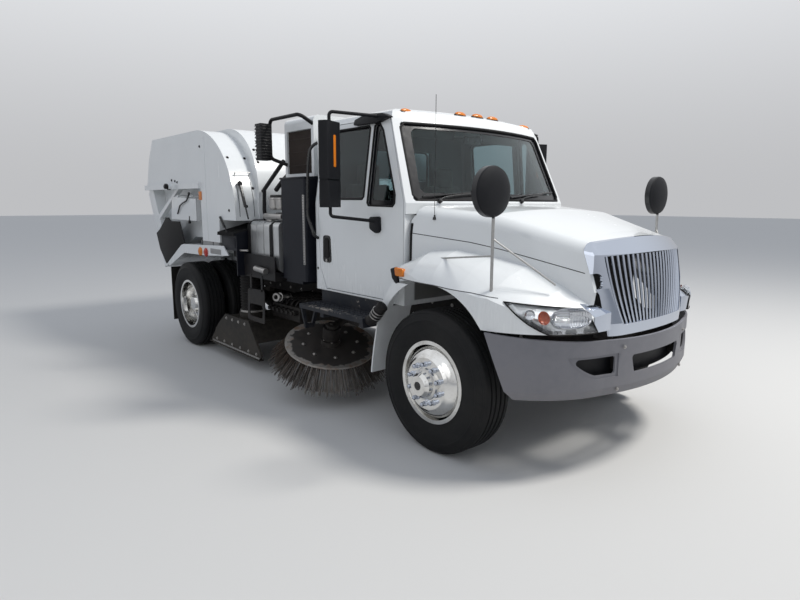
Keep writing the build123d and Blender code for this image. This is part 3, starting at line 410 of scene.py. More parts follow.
# The tyres: six radials of black rubber with five circumferential ribs, a bead line by the rim and a
# raised ring high on the sidewall. The tread runs from flat to the shoulder in one curve, and dust greys
# the sidewalls.
WHEEL_HEIGHT = 0.518
FRONT_WHEEL_X = 2.31
REAR_WHEEL_X = -1.97
TYRE_SIDE = [
    (0.286, 0.112), (0.299, 0.1145), (0.302, 0.1205), (0.309, 0.122), (0.314, 0.1225), (0.34, 0.1315),
    (0.375, 0.1385), (0.405, 0.1405), (0.436, 0.1385), (0.439, 0.1405), (0.447, 0.1398), (0.45, 0.1365),
    (0.474, 0.131), (0.494, 0.1215), (0.497, 0.1235), (0.503, 0.1205), (0.5125, 0.111), (0.5172, 0.098),
]
TREAD_GROOVES = ((0.067, 0.0055), (0.0235, 0.006), (-0.0235, 0.006), (-0.067, 0.0055))
GROOVE_DEPTH = 0.013
TREAD_RADIUS = 0.518
FRONT_TYRE_Y = 1.022
TWIN_TYRES_Y = (1.082, 0.746)


def tyre_profile():
    """The cross-section of a tyre, with its grooves, as (radius, distance along the axle)."""
    crown, groove = [], TREAD_RADIUS - GROOVE_DEPTH
    for middle, half in TREAD_GROOVES:
        crown += [(TREAD_RADIUS, middle + half + 0.0015), (groove, middle + half - 0.001)]
        crown += [(groove, middle - half + 0.001), (TREAD_RADIUS, middle - half - 0.0015)]
    return TYRE_SIDE + crown + [(radius, -far) for radius, far in reversed(TYRE_SIDE)]


def tyre_finish():
    """Black rubber with a fine grain and a little dust."""
    material, shader, place = new_finish("TyreRubber", Specular_IOR_Level=DULL)
    fine = place.noise(31, 6)
    cloud = place.noise(3, 4)
    dust = (fine * 0.5 + cloud * 0.7 - 0.1).between(0.3, 0.8) * 0.16
    place.feed(shader, "Base Color", dust.mix((0.006, 0.0065, 0.0075, 1), (0.07, 0.065, 0.058, 1)))
    place.feed(shader, "Roughness", fine * 0.2 + 0.55)
    roughen(shader, 0.25, 0.001, place.noise(420, 2))
    return material


tyre_rubber = tyre_finish()
new_tyre = lathe("Tyre", tyre_profile(), ORIGIN, (0, 1, 0), 72)
for side, hand in (("left", 1), ("right", -1)):
    front = copied(new_tyre, Matrix.Translation((FRONT_WHEEL_X, hand * FRONT_TYRE_Y, WHEEL_HEIGHT)))
    front.name = "Front_tyre_" + side
    fit(front, "front_wheel_" + side, tyre_rubber)
    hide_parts("front_tyre_" + side)
    moves = [Matrix.Translation((REAR_WHEEL_X, hand * y, WHEEL_HEIGHT)) for y in TWIN_TYRES_Y]
    rear = joined("Rear_tyres_" + side, [copied(new_tyre, move) for move in moves])
    fit(rear, "rear_wheels_" + side, tyre_rubber)
    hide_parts("rear_tyres_" + side)
bpy.data.objects.remove(new_tyre)

# The wheels: dished discs of polished alloy, each held by ten capped nuts on one circle. The front ones
# have small bolts round the hub, a black end cap and a valve hole in the dish, drawn as a shallow black cup
# whose black is painted shade.
NUT_CIRCLE = 0.143
NUT_COUNT = 10
NUT = [
    (0, 0), (0.02, 0), (0.02, 0.007), (0.0165, 0.009), (0.0165, 0.034), (0.013, 0.043), (0.006, 0.047),
    (0, 0.048),
]
FRONT_FACE = 1.190
REAR_FACE = 0.914
CAP = [
    (0, 0.0), (0.03, 0.0), (0.03, 0.0025), (0.024, 0.0035), (0.022, 0.0015), (0.012, 0.0015),
    (0.01, 0.003), (0, 0.003),
]


def polished_finish(name, colour, rough):
    """Alloy polished on a wheel lathe, with a fine grain, water spots and brake dust in patches."""
    material, shader, place = new_finish(name, Metallic=1.0)
    spots = place.noise(95, 3).between(0.62, 0.72)
    cloud = place.noise(9, 5)
    tone = (cloud * 0.8 + spots * 0.3).between(0.25, 0.85)
    place.feed(shader, "Base Color", tone.mix(colour, (0.42, 0.4, 0.37, 1)))
    place.feed(shader, "Roughness", tone * 0.16 + rough)
    roughen(shader, 0.12, 0.001, place.noise(60, 3))
    return material


polished = polished_finish("PolishedAlloy", (0.78, 0.78, 0.77, 1), 0.09)
dress("front_rim_left front_rim_right rear_rims_left rear_rims_right", polished)
chrome = new_finish("Chrome", Base_Color=(0.5, 0.54, 0.62, 1), Metallic=1.0, Roughness=0.06)[0]
gloss_black = worked_finish("GlossBlack", (0.007, 0.007, 0.008, 1), 0.28, 0.04)


def around(x, y, radius, count, shift=0.0):
    """Places evenly round an axle."""
    turns = [math.tau * (number + shift) / count for number in range(count)]
    return [(x + radius * math.cos(turn), y, WHEEL_HEIGHT + radius * math.sin(turn)) for turn in turns]


def nut_ring(name, x, y):
    """Capped nuts on one circle of a right-hand wheel."""
    spots = around(x, y, NUT_CIRCLE, NUT_COUNT, 0.5)
    nut = lathe("Nut", NUT, ORIGIN, OUTWARD, 12)
    return repeated(name, nut, [Matrix.Translation(spot) for spot in spots])


pair(nut_ring("Front_nuts", FRONT_WHEEL_X, -FRONT_FACE), "front_wheel_SIDE", chrome)
pair(nut_ring("Rear_nuts", REAR_WHEEL_X, -REAR_FACE), "rear_wheels_SIDE", chrome)
cap_place = (FRONT_WHEEL_X, -1.2685, WHEEL_HEIGHT)
pair(lathe("Hub_cap", CAP, cap_place, OUTWARD, 32), "front_wheel_SIDE", gloss_black)
hub_spots = around(FRONT_WHEEL_X, -1.2405, 0.079, 8)
pair(bolts("Hub_bolts", hub_spots, OUTWARD, 0.006), "front_wheel_SIDE", bare_steel)
# The valve hole is a shallow black cup: its black is painted shade for the dark inside of the hole.
VALVE_HOLE = [(0, 0.0), (0.026, 0.0), (0.026, 0.012), (0.022, 0.014), (0.02, 0.008), (0, 0.008)]
valve_place = (FRONT_WHEEL_X + 0.19, -1.098, WHEEL_HEIGHT + 0.14)
valve = lathe("Valve", VALVE_HOLE, valve_place, (-0.35, -1, -0.25), 24)
pair(valve, "front_wheel_SIDE", gloss_black)

# The bumper: one curved moulding of grey textured plastic on two steel horns, held by small bright screws
# that show on its face and along its lower edge.
BUMPER_SCREWS = [(3.357, y, 0.862) for y in (-0.42, 0.42)]
BUMPER_SCREWS += [(3.338, y, 0.582) for y in (-0.45, 0.45)]
grey = worked_finish("BumperGrey", (0.185, 0.185, 0.205, 1), 0.5, 0.16, 0.15, 500, 0.4, 0.9)
dress("bumper", grey)
fit(bolts("Bumper_screws", BUMPER_SCREWS, (1, 0, 0), 0.009), "chassis", bare_steel)

# The cab: a pressed steel shell in white paint with a bonded windscreen, black glass borders and rubber
# seals, amber roof lamps on black bases and a grab rail behind each door. Its inside is lined with grey
# trim.
BELT, BROW = 1.77, 2.42
SCREEN_DEPTH = 0.0165
SEAL_RADIUS = 0.011
SCREEN_BASE = (0.93, 1.79)
SCREEN_TOP = (0.862, 2.385)
ROOF_LAMPS = ((1.58, 0.745, 2.474, 0.17), (1.655, 0.205, 2.494, 0.05), (1.662, 0.0, 2.496, 0.0))
ROOF_LEAN = math.radians(20)
LAMP_BASE = [(0, -0.012), (0.07, -0.012), (0.074, 0.004), (0.066, 0.01), (0, 0.01)]
WIPER_ARM = ((-0.72, 1.79), (-0.70, 1.812), (-0.56, 1.832), (-0.34, 1.848))
WIPER_BLADE = ((-0.86, 1.806), (-0.60, 1.826), (-0.10, 1.858))
WIPER_FOOT = [(0, -0.03), (0.02, -0.03), (0.02, 0.01), (0.012, 0.018), (0, 0.018)]
WHITE = (0.8, 0.82, 0.825, 1)
TRIM_GREY = (0.16, 0.16, 0.155, 1)


def screen_x(y, z):
    """The windscreen's outer face: it leans back and bows forward at the middle."""
    rise = (z - BELT) / (BROW - BELT)
    nose, corner, half = 2.035 - 0.27 * rise, 1.872 - 0.27 * rise, 1.0 - 0.088 * rise
    return nose - (nose - corner) * (y / half) ** 2


def side_y(z):
    """The distance of the cab's side from the middle plane, which leans in above the belt."""
    return 1.0 - 0.088 * max(0.0, (z - BELT) / (BROW - BELT))


def white_finish(name, lined):
    """White enamel with faint dust in broad patches, and grey trim on the inside of the cab's walls."""
    material, shader, place = new_finish(name, Coat_Weight=0.5, Coat_Roughness=0.06)
    cloud = place.noise(1.7, 5)
    streak = place.stretched(9, 9, 0.9).noise(2.2, 5)
    low = place.axis(2).between(1.35, 0.75)
    dirt = (streak * 0.6 + cloud * 0.5 - 0.2 + low * 0.3).between(0.35, 0.95) * 0.16
    paint = dirt.mix(cloud.between(0.3, 0.7).mix(tuple(c * 0.96 for c in WHITE[:3]) + (1,), WHITE), DUST)
    rough = dirt * 1.2 + 0.24
    if lined:
        y, z = place.axis(1), place.axis(2)
        rise = (z - BELT).maths("MAXIMUM", z - BELT, 0.0)
        wall = (rise * -0.1354 + 0.974 - y.size()).between(-0.004, 0.004)
        screen = (rise * -0.4154 + 2.008 - y * y * 0.181 - place.axis(0)).between(-0.004, 0.004)
        rear = place.axis(0).between(0.612, 0.618)
        roof = z.between(2.462, 2.452)
        floor_edge = z.between(1.02, 1.03)
        inner = wall * screen * rear * roof * floor_edge
        paint = inner.mix(paint, place.noise(240, 3).mix((0.13, 0.13, 0.125, 1), TRIM_GREY))
        rough = rough + inner * 0.45
    place.feed(shader, "Base Color", paint)
    place.feed(shader, "Roughness", rough)
    return material


white = white_finish("WhitePaint", False)
lined_white = white_finish("LinedWhitePaint", True)
dress("cab_shell door_left door_right", lined_white)
dress("hood fender_quarters engine_cowl hopper_shell hopper_fittings hopper_rear_door rear_fenders", white)


def clear_finish(name, colour, roughness, bending):
    """Clear glass or plastic."""
    clear = {"Base_Color": colour, "Roughness": roughness, "Transmission_Weight": 1.0, "IOR": bending}
    return new_finish(name, **clear)[0]


glass = clear_finish("Glass", (0.62, 0.76, 0.78, 1), 0.01, 1.35)
dress("cab_glass", glass)
side_glass = clear_finish("SideGlass", (0.3, 0.38, 0.4, 1), 0.01, 1.4)
dress("door_glass_left door_glass_right", side_glass)
rubber = dull_finish("Rubber", (0.007, 0.007, 0.008, 1), 0.6, 0.1)
dress("mud_flaps suction_hoses", rubber)
frit = worked_finish("GlassBorder", (0.006, 0.006, 0.008, 1), 0.2, 0.03)


def band(name, outer, inner, thickness):
    """A strip between two closed rings of points, given a thickness."""
    piece = joined(name, [outline(name, outer, False), outline(name + "_inner", inner, False)])
    facing_out(("bridge_edge_loops", {}))
    return step(piece, "SOLIDIFY", thickness=thickness, offset=0)


def screen_ring(side, low, high, depth):
    """Points round the windscreen, in from its edge by a margin at the sides, bottom and top."""
    corners = [
        (-SCREEN_BASE[0] + side, SCREEN_BASE[1] + low),
        (SCREEN_BASE[0] - side, SCREEN_BASE[1] + low),
    ]
    corners += [(SCREEN_TOP[0] - side, SCREEN_TOP[1] - high), (-SCREEN_TOP[0] + side, SCREEN_TOP[1] - high)]
    ring = []
    for number, (first, second) in enumerate(zip(corners, corners[1:] + corners[:1])):
        count = 24 if number % 2 == 0 else 8
        for part in range(count):
            share = (part + 0.5) / count
            y, z = (first[i] + (second[i] - first[i]) * share for i in (0, 1))
            ring.append((screen_x(y, z) - depth, y, z))
    return ring


border_edge = screen_ring(0.0, 0.0, 0.0, SCREEN_DEPTH)
border = band("Screen_border", border_edge, screen_ring(0.085, 0.055, 0.04, SCREEN_DEPTH), 0.002)
fit(border, "chassis", frit)
screen_seal = pipe("Screen_seal", screen_ring(0.002, 0.002, 0.002, 0.006), SEAL_RADIUS, closed=True)
fit(screen_seal, "chassis", rubber)
rear_ring = [(0.592, y, z) for y, z in ((-0.42, 1.88), (-0.39, 1.85), (0.39, 1.85), (0.42, 1.88))]
rear_ring += [(0.594, y, z) for y, z in ((0.42, 2.25), (0.39, 2.28), (-0.39, 2.28), (-0.42, 2.25))]
fit(pipe("Rear_window_seal", rear_ring, SEAL_RADIUS, closed=True), "chassis", rubber)

amber = worked_finish("AmberLens", (0.85, 0.24, 0.012, 1), 0.18, 0.03, 0.5, 160, Transmission_Weight=0.15)
lenses, bases = [], []
for x, y, z, turn in ROOF_LAMPS:
    for hand in (-1, 1) if y else (1,):
        spot = (x, hand * y, z + 0.008)
        lens = start("uv_sphere", "Lens", segments=24, ring_count=12, radius=1, location=spot)
        lens.scale = (0.028, 0.066, 0.024)
        lens.rotation_euler = (0, ROOF_LEAN, hand * -turn)
        lenses.append(settle(lens))
        base = lathe("Base", LAMP_BASE, ORIGIN, UP, 32)
        base.scale = (0.42, 1, 1)
        base.rotation_euler = (0, ROOF_LEAN, hand * -turn)
        base.location = (x, hand * y, z)
        bases.append(settle(base))
fit(joined("Roof_lamp_lenses", lenses), "chassis", amber)
fit(joined("Roof_lamp_bases", bases), "chassis", gloss_black)

rail = [
    (0.61, -0.945, 2.30), (0.585, -0.985, 2.28), (0.578, -1.03, 2.2), (0.578, -1.048, 1.7),
    (0.585, -1.05, 1.64), (0.66, -1.05, 1.53), (0.675, -1.045, 1.47), (0.675, -0.998, 1.455),
]
pair(pipe("Grab_rail", rail, 0.014, smooth=True), "chassis", gloss_black)


def wiper(name, shift):
    """A sprung arm from its spindle and a rubber blade lying along the foot of the windscreen."""
    arm = [(screen_x(y + shift, z) + 0.012, y + shift, z) for y, z in WIPER_ARM]
    blade = [(screen_x(y + shift, z) + 0.004, y + shift, z + 0.012) for y, z in WIPER_BLADE]
    foot = lathe("Foot", WIPER_FOOT, ORIGIN, (0.9, 0, 0.5), 16)
    foot.location = (screen_x(-0.72 + shift, 1.79) + 0.008, -0.72 + shift, 1.788)
    rods = [pipe("Arm", arm, 0.006, True), pipe("Blade", blade, 0.008, True)]
    return joined(name, [*rods, settle(foot)])


fit(wiper("Wiper_right", 0.0), "chassis", gloss_black)
fit(wiper("Wiper_left", 0.9), "chassis", gloss_black)

# The inside of the cab: a moulded dashboard with a padded brow, a round wheel on its column, a gear lever
# and two sprung seats with sewn cloth cushions, backrests and head pads.
trim = worked_finish("CabTrim", (0.075, 0.072, 0.068, 1), 0.65, 0.1, 0.4, 500)
dress("dashboard", trim)
cloth, cloth_shader, cloth_place = new_finish("CushionCloth", Roughness=0.92, Sheen_Weight=0.3)
weave = (cloth_place.axis(0) * 2200).wave() * (cloth_place.axis(2) * 2200).wave()
cloth_tone = (cloth_place.noise(14, 5) * 0.6 + weave * 0.2 + 0.2).between(0.2, 0.8)
cloth_place.feed(cloth_shader, "Base Color", cloth_tone.mix((0.1, 0.092, 0.08, 1), (0.2, 0.185, 0.165, 1)))
roughen(cloth_shader, 0.3, 0.001, weave)


def pad(name, low, high, swell, channels, up):
    """A crowned foam pad in sewn cloth. Channels run across its face, and up is the face's axis."""
    piece = block(name, low, high, 0.03)
    facing_out(("subdivide", {"number_cuts": 9}))
    middle, half = (Vector(low) + Vector(high)) / 2, (Vector(high) - Vector(low)) / 2
    for vertex in piece.data.vertices:
        share = [(vertex.co[i] - middle[i]) / half[i] for i in range(3)]
        others = [i for i in range(3) if i != up]
        crown = (1 - share[others[0]] ** 2) * (1 - share[others[1]] ** 2)
        pinch = sum(math.exp(-(((vertex.co.y - place) / 0.012) ** 2)) for place in channels) * 0.012
        vertex.co[up] += (swell * crown - pinch) * (1 if share[up] > 0 else -0.2)
    return step(piece, "SUBSURF", levels=1, render_levels=1)


SEAT_MIDDLE = -0.49
SEAT_CHANNELS = (SEAT_MIDDLE - 0.13, SEAT_MIDDLE, SEAT_MIDDLE + 0.13)
cushion = pad("Cushion", (0.865, -0.722, 1.275), (1.36, -0.258, 1.392), 0.02, SEAT_CHANNELS, 2)
seat_back = pad("Backrest", (-0.06, -0.722, 0.0), (0.06, -0.258, 0.6), 0.02, SEAT_CHANNELS, 0)
seat_back.rotation_euler = (0, math.radians(-11), 0)
seat_back.location = (0.862, 0, 1.345)
head_pad = pad("Head_pad", (0.722, -0.60, 1.91), (0.812, -0.38, 2.125), 0.012, (), 0)
for piece in (cushion, seat_back, head_pad):
    settle(piece)
    mirror = copied(piece, ACROSS)
    mirror.name = piece.name + "_left"
    piece.name += "_right"
    for pad_piece in (piece, mirror):
        fit(pad_piece, "chassis", cloth, 60)
        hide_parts("seats")
base_rings = [
    (0, 0), (0.19, 0), (0.19, 0.02), (0.165, 0.05), (0.19, 0.08), (0.165, 0.11), (0.19, 0.14),
    (0.165, 0.17), (0.19, 0.2), (0.19, 0.232), (0, 0.232),
]
seat_base = lathe("Cushion_base", base_rings, (1.08, SEAT_MIDDLE, 1.042), UP, 4)
step(seat_base, "BEVEL", width=0.012, segments=2)
pair(seat_base, "chassis", trim)
visor = block("Sun_visor", (1.545, -0.72, 2.30), (1.565, -0.16, 2.435), 0.008, (0, math.radians(24), 0))
pair(visor, "chassis", trim)
lever = pipe("Gear_lever", [(1.45, 0.0, 1.04), (1.44, 0.0, 1.25), (1.36, 0.02, 1.45)], 0.011, True)
knob_profile = [(0, -0.03), (0.02, -0.028), (0.03, 0.0), (0.022, 0.024), (0, 0.03)]
knob = lathe("Knob", knob_profile, (1.36, 0.02, 1.47), UP, 20)
fit(joined("Gear_stick", [lever, knob]), "chassis", gloss_black)
spokes = []
WHEEL_MIDDLE = Vector((1.44, 0.47, 1.695))
WHEEL_OUT = Vector((-0.89, 0, 0.46)).normalized()
for turn in (0, 130, 230):
    spoke = (Matrix.Rotation(math.radians(turn), 3, WHEEL_OUT) @ Vector((0.46, 0, 0.89))).normalized()
    spokes.append(pipe("Spoke", [WHEEL_MIDDLE - WHEEL_OUT * 0.03, WHEEL_MIDDLE + spoke * 0.207], 0.011))
hub_profile = [(0, -0.05), (0.05, -0.05), (0.075, -0.01), (0.06, 0.012), (0, 0.016)]
spokes.append(lathe("Wheel_hub", hub_profile, WHEEL_MIDDLE, WHEEL_OUT, 28))
spokes.append(pipe("Column", [WHEEL_MIDDLE - WHEEL_OUT * 0.04, WHEEL_MIDDLE - WHEEL_OUT * 0.24], 0.03))
fit(joined("Steering_spokes", spokes), "chassis", trim)
mirror_lean = (0, math.radians(15), 0)
inner_mirror = block("Inner_mirror", (1.60, -0.11, 2.27), (1.625, 0.11, 2.335), 0.01, mirror_lean)
fit(inner_mirror, "chassis", gloss_black)

# The doors: white pressings with a drop glass and a fixed quarter light in rubber channels, a black
# handle pocket with a pull flap, a lock, and the mirror's two black brackets.
DROP_GLASS = (
    (0.8, 1.8), (0.77, 1.84), (0.78, 2.35), (0.815, 2.38), (1.33, 2.38), (1.35, 2.36), (1.35, 1.82),
    (1.33, 1.8),
)
QUARTER = (
    (1.42, 1.75), (1.405, 1.77), (1.405, 2.37), (1.42, 2.385), (1.47, 2.385), (1.52, 2.33), (1.74, 1.83),
    (1.745, 1.77), (1.72, 1.745),
)


def flat(points, y):
    """Points of (x, z) at one distance from the middle plane."""
    return [(x, y, z) for x, z in points]


def on_side(points, out):
    """Points of (x, z) on the cab's right-hand side, stood off by a margin."""
    return [(x, -side_y(z) - out, z) for x, z in points]


def shrunk(points, margin):
    """A ring of (x, z) points moved in by about a margin."""
    middle = [sum(p[i] for p in points) / len(points) for i in (0, 1)]
    ring = []
    for x, z in points:
        away = Vector((x - middle[0], z - middle[1]))
        ring.append((x - margin * (1 if away.x > 0 else -1), z - margin * (1 if away.y > 0 else -1)))
    return ring


for name, ring, margin in (("Drop_glass", DROP_GLASS, 0.016), ("Quarter_light", QUARTER, 0.042)):
    seal = pipe(name + "_seal", on_side(ring, 0.0), 0.009, closed=True)
    pair(seal, "door_SIDE", rubber)
    edge = band(name + "_border", on_side(ring, -0.016), on_side(shrunk(ring, margin), -0.016), 0.0025)
    pair(edge, "door_SIDE", frit)


def rounded(points, radius):
    """A ring of (x, z) points with each corner cut by an arc of three points."""
    ring = []
    for before, here, after in zip(points[-1:] + points[:-1], points, points[1:] + points[:1]):
        here, back, on = Vector(here), Vector(before) - Vector(here), Vector(after) - Vector(here)
        first, last = here + back.normalized() * radius, here + on.normalized() * radius
        ring += [first, (first + last) / 4 + here / 2, last]
    return [tuple(p) for p in ring]


pocket = rounded([(0.753, 1.243), (0.886, 1.243), (0.872, 1.484), (0.757, 1.484)], 0.03)
pocket_plate = plate("Handle_pocket", on_side(pocket, -0.002), (0, -0.006, 0), 0.002)
pair(pocket_plate, "door_SIDE", gloss_black)
flap = rounded([(0.782, 1.285), (0.858, 1.285), (0.848, 1.462), (0.786, 1.462)], 0.022)
flap_plate = plate("Handle_flap", on_side(flap, 0.003), (0, -0.009, 0), 0.003)
pair(flap_plate, "door_SIDE", rubber)
lock = [(0, -0.002), (0.013, -0.002), (0.013, 0.002), (0.01, 0.003), (0, 0.003)]
pair(lathe("Door_lock", lock, (0.82, -1.012, 1.262), OUTWARD, 20), "door_SIDE", bare_steel)
switch = lathe("Step_lamp_switch", lock, (0.665, -1.0, 1.18), OUTWARD, 16)
pair(switch, "chassis", gloss_black)
plastic = dull_finish("BlackPlastic", (0.008, 0.0085, 0.011, 1), 0.48, 0.03, 0.25, 600)
dress("door_mirror_left door_mirror_right", plastic)
upper_foot = rounded(
    [(1.16, 2.395), (1.17, 2.44), (1.32, 2.475), (1.53, 2.46), (1.62, 2.425), (1.47, 2.39)], 0.015,
)
foot_plate = plate("Mirror_upper_foot", on_side(upper_foot, -0.01), (0, -0.05, 0), 0.008)
pair(foot_plate, "door_SIDE", plastic)
lower_foot = rounded([(1.47, 1.565), (1.468, 1.66), (1.58, 1.665), (1.585, 1.55), (1.55, 1.53)], 0.015)
foot_plate = plate("Mirror_lower_foot", flat(lower_foot, -0.995), (0, -0.042, 0), 0.008)
pair(foot_plate, "door_SIDE", plastic)

MIRROR_PLACE = Vector((1.335, -1.31, 2.06))
MIRROR_WIDE = Vector((0.42, -0.907, 0)).normalized()
MIRROR_FRONT = Vector((-MIRROR_WIDE.y, MIRROR_WIDE.x, 0))


def mirror_plate(name, low, high, half, depth, material):
    """A flat plate on the mirror's head, between two heights, on its front or back."""
    middle = MIRROR_PLACE + MIRROR_FRONT * depth
    spots = rounded([(-half, low), (half, low), (half, high), (-half, high)], 0.012)
    points = [middle + MIRROR_WIDE * across + Vector((0, 0, up)) for across, up in spots]
    push = MIRROR_FRONT * math.copysign(0.004, depth)
    pair(plate(name, points, push, 0.001), "door_SIDE", material)


mirror_glass = new_finish("MirrorGlass", Base_Color=(0.78, 0.8, 0.82, 1), Metallic=1.0, Roughness=0.02)[0]
mirror_plate("Mirror_strip", -0.02, 0.22, 0.017, 0.0445, amber)
mirror_plate("Mirror_flat_glass", -0.095, 0.305, 0.088, -0.0445, mirror_glass)
mirror_plate("Mirror_wide_glass", -0.31, -0.14, 0.088, -0.0445, mirror_glass)

# The hood: one white moulding of bonnet and fenders that tilts forward on two low hinges. A dark line of
# painted shade runs along its crease and a dark joint line round the fender, a black rubber strip seals it
# to the cab, and it carries amber side markers and an aerial on a sprung foot.
CREASE = ((412, 233.1), (470, 242.3), (500, 249.2), (545, 262), (585, 273.5))
FENDER_JOINT = ((1.93, 1.222), (2.33, 1.216), (2.47, 1.207), (2.67, 1.203), (2.79, 1.193), (2.86, 1.184))
MARKER_LENS = ((1.916, 1.24), (2.0, 1.238), (2.0, 1.298), (1.905, 1.302))
MARKER_BASE = ((1.842, 1.285), (1.905, 1.305), (1.916, 1.235), (1.93, 1.19), (1.905, 1.178), (1.862, 1.215))
AERIAL_FOOT = (434.5, 219)
HOOD_EDGE = (1.884, 1.29, 1.62)
AERIAL_TOP = 2.532
PICTURE_MIDDLE = (400, 300)
PIXEL = 0.045


def hit(node, origin, direction):
    """Where a line first meets a CAD node, and the node's outward direction there."""
    found, place, normal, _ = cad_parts[node].ray_cast(Vector(origin), Vector(direction))
    if not found:
        raise ValueError("no " + node + " at " + str(tuple(origin)) + " along " + str(tuple(direction)))
    return place, normal


def sight(across, down):
    """The direction from the eye through a point of the photograph, measured in its pixels."""
    off = ((across - PICTURE_MIDDLE[0]) * PIXEL, (PICTURE_MIDDLE[1] - down) * PIXEL, -EYE_LENS)
    return camera.matrix_world.to_3x3() @ Vector(off)


def seen(node, across, down):
    """The place on a CAD node behind a point of the photograph, and the node's outward direction there."""
    return hit(node, EYE_PLACE, sight(across, down).normalized())


def traced(node, pixels, lift, pitch=7):
    """Points on a CAD node's skin along a line of the photograph's pixels."""
    line = []
    for (x0, y0), (x1, y1) in zip(pixels, pixels[1:]):
        count = max(1, int(math.hypot(x1 - x0, y1 - y0) / pitch))
        for part in range(count):
            place, out = seen(node, x0 + (x1 - x0) * part / count, y0 + (y1 - y0) * part / count)
            line.append(place + out * lift)
    place, out = seen(node, *pixels[-1])
    return line + [place + out * lift]


# One dark finish for the real panel joints and for lines of painted shade, such as the hood's crease.
joint_and_shade_dark = new_finish("JointShadow", Base_Color=(0.05, 0.05, 0.055, 1), Roughness=0.8)[0]
# Painted shade: a dark tube along the hood's crease, where the fold has no gap but turns into shade.
pair(pipe("Hood_crease", traced("hood", CREASE, 0.0), 0.0028), "hood", joint_and_shade_dark)
joint_line = []
for (x0, z0), (x1, z1) in zip(FENDER_JOINT, FENDER_JOINT[1:]):
    for part in range(8):
        share = part / 8
        joint_line.append(hit("hood", (x0 + (x1 - x0) * share, -2, z0 + (z1 - z0) * share), (0, 1, 0))[0])
pair(pipe("Fender_joint", joint_line, 0.0028), "hood", joint_and_shade_dark)
edge_x, edge_low, edge_high = HOOD_EDGE
edge_heights = [edge_low + (edge_high - edge_low) * part / 8 for part in range(9)]
edge_seal = [hit("hood", (edge_x, -2, z), (0, 1, 0))[0] for z in edge_heights]
pair(pipe("Hood_edge_seal", edge_seal, 0.01), "hood", rubber)
marker_base = plate("Marker_base", flat(rounded(MARKER_BASE, 0.008), -1.104), (0, -0.022, 0), 0.003)
pair(marker_base, "hood", plastic)
marker_lens = plate("Marker_lens", flat(rounded(MARKER_LENS, 0.01), -1.110), (0, -0.034, 0), 0.008)
pair(marker_lens, "hood", amber)
foot_place, _ = seen("hood", *AERIAL_FOOT)
foot_profile = [(0, -0.006), (0.014, -0.006), (0.013, 0.008), (0.006, 0.018), (0.005, 0.03), (0, 0.03)]
aerial_foot = lathe("Aerial_foot", foot_profile, foot_place, UP, 20)
aerial = pipe("Aerial", [foot_place, (foot_place.x, foot_place.y, AERIAL_TOP)], 0.0022)
fit(joined("Aerial", [aerial_foot, aerial]), "hood", gloss_black)

# The grille, lamps and air guard: a deep chromed surround with upright chromed bars, and almond lamps of
# clear plastic over silvered bowls, with a round side lamp, an oval turn lamp and a fluted main bowl. A
# black guard backs the bumper.
dress("grille", chrome)
lens = clear_finish("LampLens", (0.97, 0.98, 0.98, 1), 0.02, 1.12)
dress("headlamps", lens)
silver = worked_finish("LampSilver", (0.74, 0.76, 0.79, 1), 0.3, 0.0, 0.2, 90, Metallic=0.55)
reflector_silver = worked_finish("ReflectorSilver", (0.66, 0.68, 0.72, 1), 0.12, 0.0, Metallic=0.95)
turn_amber = worked_finish("TurnLamp", (0.33, 0.07, 0.035, 1), 0.25, 0.0)
LAMP_OUT = Vector((0.811, -0.585, 0))
LAMP_ALONG = Vector((-0.585, -0.811, 0))
LAMP_BACK = 0.048
MAIN_LAMP = (572.0, 319.0)
MAIN_SIZE = (0.262, 0.128)
MAIN_DEPTH = 0.026
SMALL_BOWL = [
    (0, -0.03), (0.04, -0.028), (0.07, -0.014), (0.086, 0.006), (0.09, 0.006), (0.072, -0.02),
    (0.04, -0.034), (0, -0.036),
]
RIB_PITCH = 0.0095


def lamp_meshes(name):
    """A closed copy of both lamps' solids."""
    copy = copied(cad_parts["headlamps"], Matrix.Identity(4))
    alone(copy)
    facing_out()
    copy.name = name
    copy.parent = None
    return copy


housing = lamp_meshes("Lamp_housings")
for vertex in housing.data.vertices:
    hand = 1 if vertex.co.y < 0 else -1
    vertex.co -= Vector((LAMP_OUT.x, LAMP_OUT.y * hand, 0)) * LAMP_BACK
fit(housing, "hood", silver, 50)


def front_rim(piece, out):
    """The points in order round a solid's right-hand face, where it meets its side walls."""
    faces = [face for face in piece.data.polygons if face.normal.dot(out) > 0.4 and face.center.y < 0]
    used = [key for face in faces for key in face.edge_keys]
    beside_of = {}
    for first, second in (key for key in used if used.count(key) == 1):
        beside_of.setdefault(first, []).append(second)
        beside_of.setdefault(second, []).append(first)
    walk = [min(beside_of)]
    while True:
        onward = [corner for corner in beside_of[walk[-1]] if corner not in walk]
        if not onward:
            return [piece.data.vertices[corner].co.copy() for corner in walk]
        walk.append(onward[0])


rim_source = lamp_meshes("Lamp_rim_source")
rim_points = front_rim(rim_source, LAMP_OUT)
bpy.data.objects.remove(rim_source)
pair(pipe("Lamp_rim", rim_points, 0.0045, closed=True), "hood", rubber)


def main_bowl(place):
    """A wide shallow reflector, streaked across on its outer part and fluted upright on the rest."""
    piece = start("grid", "Main_bowl", x_subdivisions=84, y_subdivisions=36, size=1)
    for vertex in piece.data.vertices:
        u, v = vertex.co.x, vertex.co.y
        corner = 1 - 0.3 * (2 * u) ** 2 * (2 * v) ** 2
        deep = (1 - (2 * u) ** 4) * (1 - (2 * v) ** 4)
        streak = math.sin(v * 46) * 0.0022 if u > 0.02 else math.sin(u * 100) * 0.0028
        far = -0.01 - deep * (MAIN_DEPTH + streak)
        up = Vector((0, 0, v * MAIN_SIZE[1] * corner))
        vertex.co = place + LAMP_ALONG * (u * MAIN_SIZE[0] * corner) + up + LAMP_OUT * far
    facing_out()
    return step(piece, "SOLIDIFY", thickness=0.003, offset=0)


